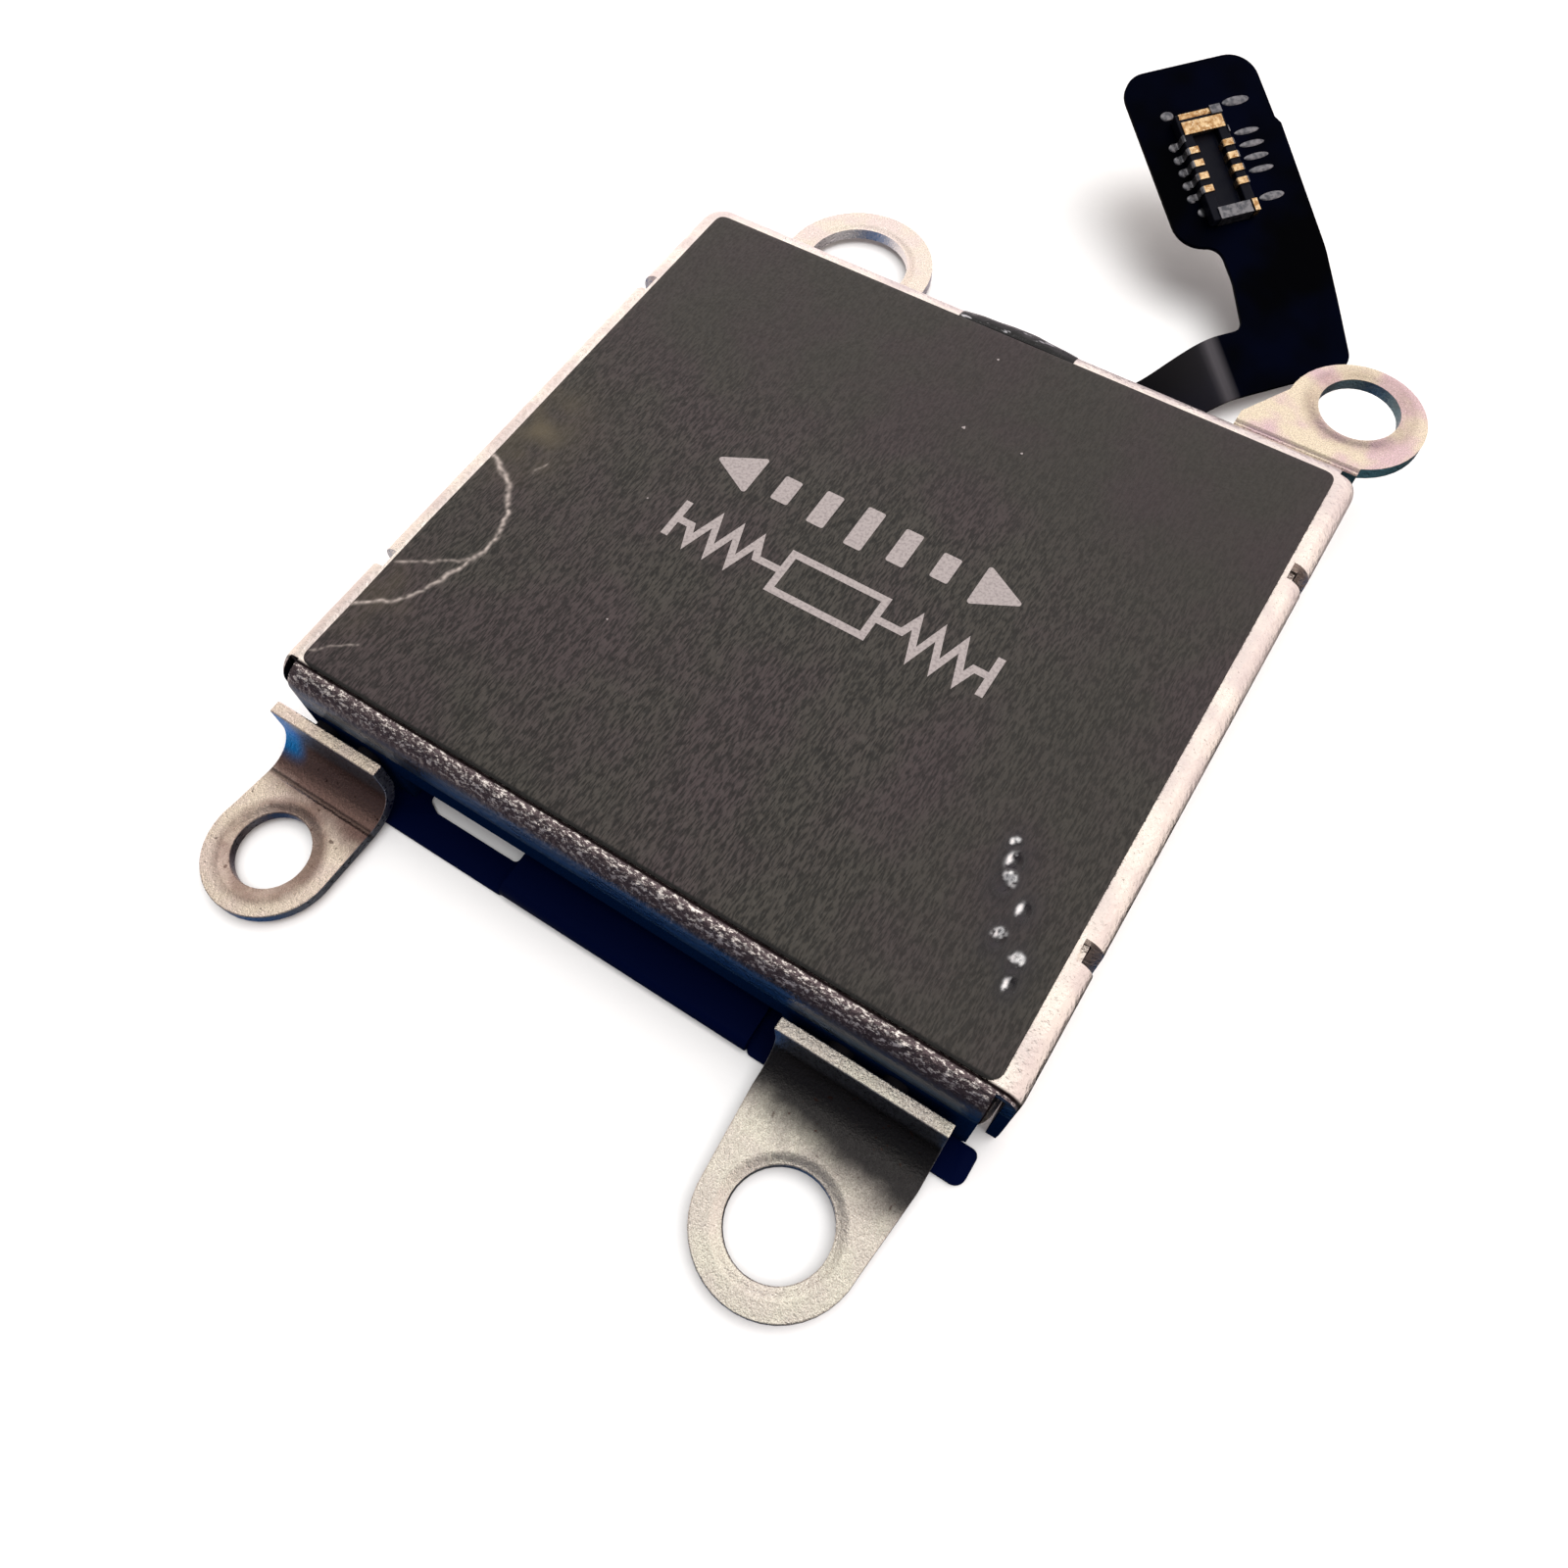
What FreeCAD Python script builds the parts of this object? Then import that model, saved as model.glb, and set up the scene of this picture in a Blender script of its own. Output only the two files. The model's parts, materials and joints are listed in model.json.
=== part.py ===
"""Linear haptic actuator: a flat sheet-metal case with four screw lugs, a sprung magnet mass that slides
along X inside it, and a flex circuit that runs under the case to a small board connector.

Frame: origin at the centre of the case's underside, +X along the front edge, where the flex circuit folds
into the case, +Y towards the free tail, +Z up. Millimetres.
"""

import FreeCAD, Part
import math
import os
import re
import Sketcher

Vector = FreeCAD.Vector
Rotation = FreeCAD.Rotation

SIZES = {
    # Case: a shallow tray inside a cover whose flaps fold down over it.
    "case_width": 16.0,
    "case_depth": 15.3,
    "case_tall": 3.0,
    "cover_sheet": 0.25,
    "cover_shoulder": 0.4,
    "cover_corner": 0.6,
    "flap_lift": 0.13,
    "flap_corner_gap": 0.46,
    "flap_corner_relief": 0.36,
    "corner_slit_relief": 0.5,
    "notch_front": 4.45,
    "notch_back": 4.55,
    "notch_width": 0.42,
    "notch_reach": 0.4,
    "front_flap_low": 1.2,
    "cut_margin": 0.1,
    "tray_sheet": 0.25,
    "tray_floor": 0.3,
    "tray_corner": 0.5,
    "shell_gap": 0.03,
    "recess_clearance": 0.02,
    # Film and tape on the cover.
    "label_width": 15.0,
    "label_depth": 14.37,
    "label_sheet": 0.06,
    "label_corner": 0.25,
    "tape_left": 1.2,
    "tape_right": 1.65,
    "tape_sheet": 0.09,
    "tape_gap": 0.03,
    "tape_reach": 8.0,
    "tape_drop": 0.9,
    "tape_bulge_drop": 0.35,
    # Lugs: flange against the case wall, then a plate with one screw hole.
    "lug_sheet": 0.27,
    "lug_level": 0.15,
    "lug_stand_off": 0.13,
    "lug_flange_top": 1.72,
    "upper_lug_level": 2.39,
    "upper_flange_low": 0.9,
    "upper_outer_bend": 0.06,
    "weld_radius": 0.24,
    "weld_level": 1.42,
    "upper_weld_level": 1.4,
    "weld_pitch": 1.1,
    "front_left_from": -8.2,
    "front_left_to": -5.45,
    "front_left_bend": 0.7,
    "front_left_weld_x": -6.55,
    "front_left_hole_x": -6.9,
    "front_left_hole_reach": 10.15,
    "front_left_reach": 10.15,
    "front_left_ring": 1.43,
    "front_left_hole": 0.82,
    "front_right_from": 3.8,
    "front_right_to": 7.25,
    "front_right_bend": 0.7,
    "front_right_weld_x": 5.5,
    "front_right_hole_x": 5.5,
    "front_right_hole_reach": 10.6,
    "front_right_reach": 10.6,
    "front_right_ring": 1.58,
    "front_right_hole": 0.98,
    "rear_left_from": -7.3,
    "rear_left_to": -3.7,
    "rear_left_bend": 0.35,
    "rear_left_weld_x": -5.5,
    "rear_left_hole_x": -5.45,
    "rear_left_hole_reach": 10.1,
    "rear_left_reach": 10.1,
    "rear_left_ring": 1.95,
    "rear_left_hole": 1.3,
    "rear_right_from": 5.15,
    "rear_right_to": 7.85,
    "rear_right_bend": 0.05,
    "rear_right_weld_x": 6.5,
    "rear_right_hole_x": 7.25,
    "rear_right_hole_reach": 9.5,
    "rear_right_reach": 9.3,
    "rear_right_ring": 1.46,
    "rear_right_hole": 0.85,
    # Flex circuit: band along the front edge, fold into the case, run to the back, then the free tail.
    "flex_sheet": 0.11,
    "fold_front": 8.19,
    "fold_left": -2.5,
    "fold_right": 3.3,
    "band_front": 8.39,
    "band_left": -6.2,
    "band_right": 7.4,
    "band_step": 7.85,
    "band_back": 5.1,
    "slit_left": -5.1,
    "slit_right": -2.65,
    "slit_front": 7.68,
    "slit_back": 7.1,
    "run_left": 1.3,
    "run_right": 2.95,
    "root_turn": 0.35,
    "fold_run": 1.6,
    "carrier_front": 1.2,
    "carrier_back": 5.9,
    "carrier_margin": 1.6,
    "recess_margin": 0.12,
    # Tail: where it turns, and the tilted plane of the arm and the connector head.
    "root_back": 8.4,
    "foot_x": 2.79,
    "foot_y": 9.61,
    "head_x": 1.6,
    "head_y": 15.5,
    "head_z": 2.32,
    "tail_yaw": 50.0,
    "tail_pitch": 18.0,
    "tail_width": 1.6,
    "arm_start": -1.6,
    "arm_low": -5.72,
    "arm_left": -0.75,
    "arm_left_foot": -0.95,
    "arm_right": 1.8,
    "arm_right_foot": 1.36,
    "arm_waist": -2.65,
    "head_left": -1.7,
    "head_right": 1.92,
    "head_right_top": 1.82,
    "head_low": -1.85,
    "head_high": 2.92,
    "head_corner": 0.6,
    "head_step_low": 0.8,
    "head_step_high": 1.0,
    "stiffener_sheet": 0.15,
    "stiffener_inset": 0.25,
    # Board connector on the head.
    "housing_centre": -0.23,
    "housing_width": 1.2,
    "housing_low": -1.42,
    "housing_high": 1.46,
    "housing_tall": 0.27,
    "well_width": 0.68,
    "well_low": -1.16,
    "well_high": 0.96,
    "well_floor": 0.08,
    "contact_pitch": 0.35,
    "contact_centre": 0.1,
    "contact_width": 0.17,
    "contact_sheet": 0.035,
    "contact_foot": 0.13,
    "pad_left": 0.66,
    "pad_right": 1.32,
    "pad_width": 0.2,
    "pad_sheet": 0.03,
    "short_pad_left": -0.98,
    "short_pad_right": -0.68,
    "end_pad_low": -1.0,
    "end_pad_high": 1.65,
    "power_bar_low": 0.88,
    "power_bar_high": 1.44,
    "ground_bar_low": -1.42,
    "ground_bar_high": -1.17,
    # Magnet mass, coils and springs.
    "coil_pitch": 5.9,
    "coil_width": 5.6,
    "coil_length": 10.8,
    "coil_window_width": 1.5,
    "coil_window_length": 6.7,
    "coil_tall": 0.62,
    "mass_width": 12.2,
    "mass_depth": 13.5,
    "mass_low": 0.62,
    "mass_high": 2.58,
    "mass_corner": 0.3,
    "mass_relief_depth": 11.5,
    "magnet_level": 1.18,
    "magnet_tall": 1.1,
    "magnet_width": 2.7,
    "magnet_length": 9.8,
    "magnet_pitch": 2.95,
    "magnet_fit": 0.02,
    "yoke_width": 11.9,
    "yoke_length": 10.2,
    "spring_sheet": 0.15,
    "spring_low": 0.75,
    "spring_high": 2.45,
    "spring_end": 6.5,
    "spring_knee": 4.6,
    "weld_plate_sheet": 0.1,
    "weld_plate_length": 1.5,
    "weld_plate_tall": 1.2,
    "stop_thick": 0.42,
    "stop_length": 2.4,
    "stop_tall": 1.5,
    "stop_centre": 4.6,
    "stop_low": 0.85,
    "sensor_side": 1.0,
    "sensor_tall": 0.4,
    "capacitor_length": 0.6,
    "capacitor_width": 0.3,
    "capacitor_place": 0.8,
    "joint_side": 0.4,
    "joint_gap": 0.2,
    "joint_place": 0.45,
    "joint_tall": 0.12,
}

# Places of the contact rows along the connector, in pitches from its middle row
CONTACT_ROWS = (-2, -1, 0, 1, 2)

doc = FreeCAD.newDocument("linear_haptic_actuator")
sheet = doc.addObject("Spreadsheet::Sheet", "Sizes")
for row, (alias, value) in enumerate(SIZES.items(), start=1):
    sheet.set(f"A{row}", alias)
    sheet.set(f"B{row}", str(value))
    sheet.setAlias(f"B{row}", alias)
doc.recompute()

gauge = doc.addObject("App::FeaturePython", "Gauge")
gauge.addProperty("App::PropertyFloat", "Reading")
nodes = []


# Expressions, sketches and features ---------------------------------------------------------------

def expression(text):
    """The text with every size name turned into a reference to its cell."""
    return re.sub(r"\w+", lambda m: f"Sizes.{m.group()}" if m.group() in SIZES else m.group(), text)


def bind(target, name, text):
    target.setExpression(name, expression(text))


def number(text):
    """What an expression comes to now."""
    bind(gauge, "Reading", text)
    gauge.recompute()
    return gauge.Reading


def keep(target, label):
    """Marks a finished sub-part for export under its label."""
    target.Label = label
    nodes.append(target)
    return target


def body(label):
    return keep(doc.addObject("PartDesign::Body", "Body"), label)


def sketch_on(part, role="XY_Plane", level="0"):
    """A new sketch in the part, on one of its own planes and at a level above it."""
    sketch = part.newObject("Sketcher::SketchObject", "Sketch")
    plane = next(f for f in part.Origin.OriginFeatures if f.Role == role)
    sketch.AttachmentSupport = [(plane, "")]
    sketch.MapMode = "FlatFace"
    bind(sketch, "AttachmentOffset.Base.z", level)
    return sketch


def fix_point(sketch, geometry, point, x, y):
    """Holds a point of the sketch at two sizes from the origin."""
    for kind, text in (("DistanceX", x), ("DistanceY", y)):
        index = sketch.addConstraint(Sketcher.Constraint(kind, -1, 1, geometry, point, number(text)))
        bind(sketch, f"Constraints[{index}]", text)


def polygon(sketch, corners):
    """A closed outline through corners given as pairs of expressions."""
    first = sketch.GeometryCount
    places = [Vector(number(x), number(y), 0) for x, y in corners]
    count = len(places)
    for i in range(count):
        sketch.addGeometry(Part.LineSegment(places[i], places[(i + 1) % count]))
    for i in range(count):
        sketch.addConstraint(Sketcher.Constraint("Coincident", first + i, 2, first + (i + 1) % count, 1))
    for i, (x, y) in enumerate(corners):
        fix_point(sketch, first + i, 1, x, y)
    return sketch


def rectangle(sketch, left, right, low, high):
    return polygon(sketch, [(left, low), (right, low), (right, high), (left, high)])


def centred_rectangle(sketch, width, depth):
    return rectangle(sketch, f"-({width}) / 2", f"({width}) / 2", f"-({depth}) / 2", f"({depth}) / 2")


def circle(sketch, x, y, radius):
    place = Vector(number(x), number(y), 0)
    index = sketch.addGeometry(Part.Circle(place, Vector(0, 0, 1), number(radius)))
    fix_point(sketch, index, 3, x, y)
    held = sketch.addConstraint(Sketcher.Constraint("Radius", index, number(radius)))
    bind(sketch, f"Constraints[{held}]", radius)
    return sketch


def pad(part, sketch, length, both_ways=False):
    feature = part.newObject("PartDesign::Pad", "Pad")
    feature.Profile = sketch
    feature.Midplane = both_ways
    bind(feature, "Length", length)
    doc.recompute()
    return feature


def pocket(part, sketch, depth, along_normal=False):
    """Cuts the sketch's outline out of the part, and makes sure that something was cut."""
    before = part.Shape.Volume
    feature = part.newObject("PartDesign::Pocket", "Pocket")
    feature.Profile = sketch
    feature.Reversed = along_normal
    bind(feature, "Length", depth)
    doc.recompute()
    if not part.Shape.Volume < before - 1e-6:
        raise RuntimeError(f"a pocket in {part.Label} cuts nothing")
    return feature


def round_edges(part, radius, wanted, kind="Fillet"):
    """Fillets or chamfers every edge of the part that wanted() picks by its two ends and middle."""
    base = part.Tip
    picked = []
    for index, edge in enumerate(base.Shape.Edges, start=1):
        middle = edge.valueAt((edge.FirstParameter + edge.LastParameter) / 2)
        if wanted(edge.Vertexes[0].Point, edge.Vertexes[-1].Point, middle):
            picked.append(f"Edge{index}")
    if not picked:
        raise RuntimeError(f"no edge of {part.Label} to round")
    feature = part.newObject(f"PartDesign::{kind}", kind)
    feature.Base = (base, picked)
    bind(feature, "Radius" if kind == "Fillet" else "Size", radius)
    doc.recompute()
    return feature


def upright(start, end, middle):
    """An edge parallel to Z."""
    return math.dist(start[:2], end[:2]) < 1e-6 and abs(start.z - end.z) > 1e-6


def at_level(level):
    def wanted(start, end, middle):
        return max(abs(p.z - level) for p in (start, end, middle)) < 1e-6
    return wanted


def box(x, y, z, length, width, height):
    """A Part box from its low corner, with every size bound to the sheet."""
    block = doc.addObject("Part::Box", "Box")
    for name, text in (("Length", length), ("Width", width), ("Height", height)):
        bind(block, name, text)
    for name, text in (("x", x), ("y", y), ("z", z)):
        bind(block, f"Placement.Base.{name}", text)
    return block


def fuse(pieces):
    joined = doc.addObject("Part::MultiFuse", "Fusion")
    joined.Shapes = pieces
    return joined


def group(label, pieces):
    """Alike pieces that stay separate solids of one node."""
    compound = doc.addObject("Part::Compound", "Group")
    compound.Links = pieces
    return keep(compound, label)


# Case ---------------------------------------------------------------------------------------------

def make_top_cover():
    """Drawn plate with flaps on all four sides. Side flaps are notched twice, and three corners are open.

    At the front left only a slit opens, between the front flap and the end of the left flap, and at the rear left
    the shoulder stays closed.
    """
    part = body("top_cover")
    half_width, half_depth = "case_width / 2", "case_depth / 2"
    pad(part, centred_rectangle(sketch_on(part, level="flap_lift"), "case_width", "case_depth"),
        "case_tall - flap_lift")
    round_edges(part, "cover_corner", upright)
    round_edges(part, "cover_shoulder", at_level(number("case_tall")))
    inside = sketch_on(part, level="flap_lift")
    centred_rectangle(inside, "case_width - 2 * cover_sheet", "case_depth - 2 * cover_sheet")
    pocket(part, inside, "case_tall - cover_sheet - flap_lift", along_normal=True)

    notches = sketch_on(part, level="flap_lift")
    for side in (-1, 1):
        outer, inner = f"{side} * ({half_width} + cut_margin)", f"{side} * ({half_width} - notch_reach)"
        for place in ("-notch_front", "notch_back"):
            rectangle(notches, outer, inner, f"{place} - notch_width / 2", f"{place} + notch_width / 2")
    pocket(part, notches, "case_tall", along_normal=True)

    for x_side, y_side, outer, relief, height in (
        (-1, -1, "- cover_sheet", "corner_slit_relief", "case_tall"),
        (1, -1, "+ cut_margin", "flap_corner_relief", "case_tall"),
        (1, 1, "+ cut_margin", "flap_corner_relief", "case_tall"),
        (-1, 1, "+ cut_margin", "flap_corner_relief", "case_tall - cover_shoulder - flap_lift"),
    ):
        corner = sketch_on(part, level="flap_lift")
        rectangle(
            corner,
            f"{x_side} * ({half_width} - flap_corner_gap)", f"{x_side} * ({half_width} {outer})",
            f"{y_side} * ({half_depth} - {relief})", f"{y_side} * ({half_depth} + cut_margin)",
        )
        pocket(part, corner, height, along_normal=True)

    front = sketch_on(part, "XZ_Plane", f"{half_depth} + cut_margin")
    rectangle(front, "front_left_to + cut_margin", "front_right_from - cut_margin",
              "flap_lift - cut_margin", "front_flap_low")
    pocket(part, front, "cover_sheet + 2 * cut_margin")
    return part


def make_base_tray():
    """Stamped tray that closes the case from below, with a shallow recess for the flex circuit."""
    part = body("base_tray")
    width = "(case_width - 2 * (cover_sheet + shell_gap))"
    depth = "(case_depth - 2 * (cover_sheet + shell_gap))"
    pad(part, centred_rectangle(sketch_on(part), width, depth), "case_tall - cover_sheet - shell_gap")
    round_edges(part, "tray_corner", upright)
    inside = sketch_on(part, level="case_tall")
    centred_rectangle(inside, f"{width} - 2 * tray_sheet", f"{depth} - 2 * tray_sheet")
    pocket(part, inside, "case_tall - tray_floor")

    recess = sketch_on(part)
    polygon(recess, [
        ("band_left - recess_margin", "-case_depth / 2"),
        ("band_right + recess_margin", "-case_depth / 2"),
        ("band_right + recess_margin", "-band_back + recess_margin"),
        ("run_right + recess_margin", "-band_back + recess_margin"),
        ("run_right + recess_margin", "case_depth / 2"),
        ("run_left - recess_margin", "case_depth / 2"),
        ("run_left - recess_margin", "-band_back + recess_margin"),
        ("band_left - recess_margin", "-band_back + recess_margin"),
    ])
    pocket(part, recess, "flex_sheet + recess_clearance", along_normal=True)

    mouth = sketch_on(part, "XZ_Plane", "case_depth / 2")
    rectangle(mouth, "fold_left - recess_margin", "fold_right + recess_margin",
              "tray_floor - recess_clearance", "tray_floor + flex_sheet + cut_margin")
    pocket(part, mouth, "cover_sheet + shell_gap + tray_sheet + cut_margin")
    return part


def make_label_film():
    part = body("label_film")
    pad(part, centred_rectangle(sketch_on(part, level="case_tall"), "label_width", "label_depth"), "label_sheet")
    round_edges(part, "label_corner", upright)
    return part


def make_rear_tape():
    """Short strip of black tape that wraps over the rear shoulder and stands a little off it."""
    part = body("rear_edge_tape")
    profile = sketch_on(part, "YZ_Plane", "-tape_left")
    start, back = "label_depth / 2 + tape_gap", "case_depth / 2"
    polygon(profile, [
        (start, "case_tall"),
        (back, "case_tall"),
        (f"{back} + recess_clearance", "case_tall - tape_drop"),
        (f"{back} + recess_clearance + tape_sheet", "case_tall - tape_drop"),
        ("tape_reach", "case_tall - tape_bulge_drop"),
        (f"{back} + tape_sheet + tape_gap", "case_tall + tape_sheet"),
        (start, "case_tall + tape_sheet"),
    ])
    pad(part, profile, "tape_left + tape_right")
    return part


# Lugs ---------------------------------------------------------------------------------------------

def make_lug(name, side, upper=False):
    """A bent plate lug: side is -1 on the front wall and +1 on the rear wall."""
    part = body(f"{name}_lug")
    wall = f"{side} * (case_depth / 2 + lug_stand_off)"
    outer = f"{side} * (case_depth / 2 + lug_stand_off + lug_sheet)"
    straight = f"{side} * (case_depth / 2 + lug_stand_off + lug_sheet + {name}_bend + cut_margin)"
    level = "upper_lug_level" if upper else "lug_level"
    skin, inside = (f"{level} + lug_sheet", level) if upper else (level, f"{level} + lug_sheet")
    flange_end = "upper_flange_low" if upper else "lug_flange_top"
    outer_bend = "upper_outer_bend" if upper else f"{name}_bend + lug_sheet"

    bent = sketch_on(part, "YZ_Plane", f"{name}_from")
    polygon(bent, [
        (wall, skin), (straight, skin), (straight, inside),
        (outer, inside), (outer, flange_end), (wall, flange_end),
    ])
    pad(part, bent, f"{name}_to - {name}_from")

    def along_bend(y, z):
        return lambda start, end, middle: all(
            abs(p.y - number(y)) < 1e-4 and abs(p.z - number(z)) < 1e-4 for p in (start, end, middle)
        )
    round_edges(part, f"{name}_bend", along_bend(outer, inside))
    round_edges(part, outer_bend, along_bend(wall, skin))

    neck = sketch_on(part, level=level)
    across = f"{side} * {name}_reach"
    polygon(neck, [
        (f"{name}_from", straight),
        (f"{name}_to", straight),
        (f"{name}_hole_x + {name}_ring", across),
        (f"{name}_hole_x - {name}_ring", across),
    ])
    pad(part, neck, "lug_sheet")
    ring = sketch_on(part, level=level)
    pad(part, circle(ring, f"{name}_hole_x", across, f"{name}_ring"), "lug_sheet")
    hole = sketch_on(part, level=f"{level} + lug_sheet")
    pocket(part, circle(hole, f"{name}_hole_x", f"{side} * {name}_hole_reach", f"{name}_hole"), "lug_sheet")
    return part


def make_weld_spots():
    """Projection welds, two behind each flange, that bridge the gap to the cover's flap."""
    spots = []
    for name, side in (("front_left", -1), ("front_right", -1), ("rear_left", 1), ("rear_right", 1)):
        level = "upper_weld_level" if name == "rear_right" else "weld_level"
        for share in (-0.5, 0.5):
            spot = doc.addObject("Part::Cylinder", "WeldSpot")
            bind(spot, "Radius", "weld_radius")
            bind(spot, "Height", "lug_stand_off")
            bind(spot, "Placement.Base.x", f"{name}_weld_x + {share} * weld_pitch")
            bind(spot, "Placement.Base.y", f"{side} * case_depth / 2")
            bind(spot, "Placement.Base.z", level)
            spot.Placement.Rotation = Rotation(Vector(1, 0, 0), -90 * side)
            spots.append(spot)
    return group("lug_weld_spots", spots)


# Flex circuit -------------------------------------------------------------------------------------

def tail_placement():
    """Plane of the free arm and head: origin under the connector, +Y along the arm to its far end."""
    turn = Rotation(Vector(0, 0, 1), number("tail_yaw"))
    tilt = Rotation(Vector(1, 0, 0), number("tail_pitch"))
    return FreeCAD.Placement(Vector(number("head_x"), number("head_y"), number("head_z")), turn * tilt)


def make_flex_circuit():
    """The part of the flex circuit that stays with the case: band, fold, run inside and run to the rear."""
    part = body("flex_circuit")
    under = sketch_on(part)
    polygon(under, [
        ("band_left", "-band_front"),
        ("fold_left", "-band_front"),
        ("fold_left", "-fold_front"),
        ("fold_right", "-fold_front"),
        ("fold_right", "-band_front"),
        ("band_step", "-band_front"),
        ("band_step", "-case_depth / 2"),
        ("band_right", "-case_depth / 2"),
        ("band_right", "-band_back"),
        ("run_right", "-band_back"),
        ("run_right", "root_back - root_turn"),
        ("foot_x + tail_width / 2 * sin(tail_yaw)", "foot_y - tail_width / 2 * cos(tail_yaw)"),
        ("foot_x - tail_width / 2 * sin(tail_yaw)", "foot_y + tail_width / 2 * cos(tail_yaw)"),
        ("run_left", "root_back"),
        ("run_left", "-band_back"),
        ("band_left", "-band_back"),
    ])
    pad(part, under, "flex_sheet")
    slit = sketch_on(part, level="flex_sheet")
    rectangle(slit, "slit_left", "slit_right", "-slit_front", "-slit_back")
    pocket(part, slit, "flex_sheet")

    inner = sketch_on(part, level="tray_floor")
    rectangle(inner, "fold_left", "fold_right", "-fold_front", "-case_depth / 2 + fold_run")
    pad(part, inner, "flex_sheet")
    carrier = sketch_on(part, level="tray_floor")
    rectangle(carrier, "-coil_pitch / 2 - carrier_margin", "coil_pitch / 2 + carrier_margin",
              "-case_depth / 2 + carrier_front", "carrier_back")
    pad(part, carrier, "flex_sheet")

    fold = sketch_on(part, "YZ_Plane", "fold_left")
    half_ring(fold, "-fold_front", "(tray_floor + flex_sheet) / 2", "(tray_floor - flex_sheet) / 2")
    pad(part, fold, "fold_right - fold_left")
    return part


def half_ring(sketch, y, outer, inner):
    """Half ring open towards +Y that stands on the Y axis: two arcs joined by two short lines."""
    centre = Vector(number(y), number(outer), 0)
    above, below = Vector(0, number(outer), 0), Vector(0, number(inner), 0)

    def arc(radius):
        round_centre = Part.Circle(centre, Vector(0, 0, 1), number(radius))
        index = sketch.addGeometry(Part.ArcOfCircle(round_centre, math.pi / 2, 3 * math.pi / 2))
        fix_point(sketch, index, 3, y, outer)
        held = sketch.addConstraint(Sketcher.Constraint("Radius", index, number(radius)))
        bind(sketch, f"Constraints[{held}]", radius)
        return index

    big, small = arc(outer), arc(inner)
    top = sketch.addGeometry(Part.LineSegment(centre + above, centre + below))
    low = sketch.addGeometry(Part.LineSegment(centre - below, centre - above))
    for first, end, second, start in ((big, 1, top, 1), (top, 2, small, 1), (small, 2, low, 1), (low, 2, big, 2)):
        sketch.addConstraint(Sketcher.Constraint("Coincident", first, end, second, start))
    for line in (top, low):
        sketch.addConstraint(Sketcher.Constraint("Vertical", line))


def make_flex_bend():
    """Short ramp between the flat run and the tilted arm. It is what flexes when the tail is lifted."""
    half = number("tail_width") / 2
    thin = number("flex_sheet")
    yaw = math.radians(number("tail_yaw"))
    across = Vector(-math.sin(yaw), math.cos(yaw), 0)
    foot = Vector(number("foot_x"), number("foot_y"), 0)
    tail = tail_placement()

    def section(corners):
        wire = doc.addObject("Part::Feature", "Section")
        wire.Shape = Part.makePolygon(corners + corners[:1])
        return wire

    low = section([
        foot - across * half,
        foot + across * half,
        foot + across * half + Vector(0, 0, thin),
        foot - across * half + Vector(0, 0, thin),
    ])
    start, edge = number("arm_start"), number("arm_low")
    high = section([
        tail.multVec(Vector(start, v, z))
        for v, z in (
            (edge, -thin / 2),
            (edge + 2 * half, -thin / 2),
            (edge + 2 * half, thin / 2),
            (edge, thin / 2),
        )
    ])
    ramp = doc.addObject("Part::Loft", "Loft")
    ramp.Sections = [low, high]
    ramp.Solid = True
    ramp.Ruled = True
    return keep(ramp, "flex_bend")


def make_flex_tail():
    """Free end of the flex circuit: short arm, long arm and the wide head, all in one tilted plane."""
    part = body("flex_tail")
    part.Placement = tail_placement()
    outline = sketch_on(part, level="-flex_sheet / 2")
    polygon(outline, [
        ("arm_start", "arm_low"),
        ("arm_right_foot", "arm_low"),
        ("arm_right", "arm_waist"),
        ("head_right", "head_step_low"),
        ("head_right_top", "head_step_high"),
        ("head_right_top", "head_high"),
        ("head_left", "head_high"),
        ("head_left", "head_low"),
        ("arm_left", "head_low"),
        ("arm_left", "arm_waist"),
        ("arm_left_foot", "arm_low + tail_width"),
        ("arm_start", "arm_low + tail_width"),
    ])
    pad(part, outline, "flex_sheet")
    high, left, right = number("head_high"), number("head_left"), number("head_right_top")
    low, arm_right = number("arm_low"), number("arm_right_foot")
    rounded = [(left, high), (right, high), (left, number("head_low")), (arm_right, low)]

    def head_corner(start, end, middle):
        return upright(start, end, middle) and any(math.dist(start[:2], c) < 1e-3 for c in rounded)
    round_edges(part, "head_corner", head_corner)
    return part


def make_stiffener():
    part = body("head_stiffener")
    part.Placement = tail_placement()
    plate = sketch_on(part, level="-flex_sheet / 2 - stiffener_sheet")
    rectangle(plate, "head_left + stiffener_inset", "head_right_top - stiffener_inset",
              "head_low + stiffener_inset", "head_high - stiffener_inset")
    pad(part, plate, "stiffener_sheet")
    round_edges(part, "head_corner - stiffener_inset", upright)
    return part


# Board connector, in the plane of the head ---------------------------------------------------------

def make_housing():
    part = body("connector_housing")
    part.Placement = tail_placement()
    outline = sketch_on(part, level="flex_sheet / 2")
    rectangle(outline, "housing_centre - housing_width / 2", "housing_centre + housing_width / 2",
              "housing_low", "housing_high")
    pad(part, outline, "housing_tall")
    well = sketch_on(part, level="flex_sheet / 2 + housing_tall")
    rectangle(well, "housing_centre - well_width / 2", "housing_centre + well_width / 2", "well_low", "well_high")
    pocket(part, well, "housing_tall - well_floor")
    return part


def on_head(piece):
    """Moves a piece made in the head's own plane to where the head is."""
    piece.Placement = tail_placement()
    return piece


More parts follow.
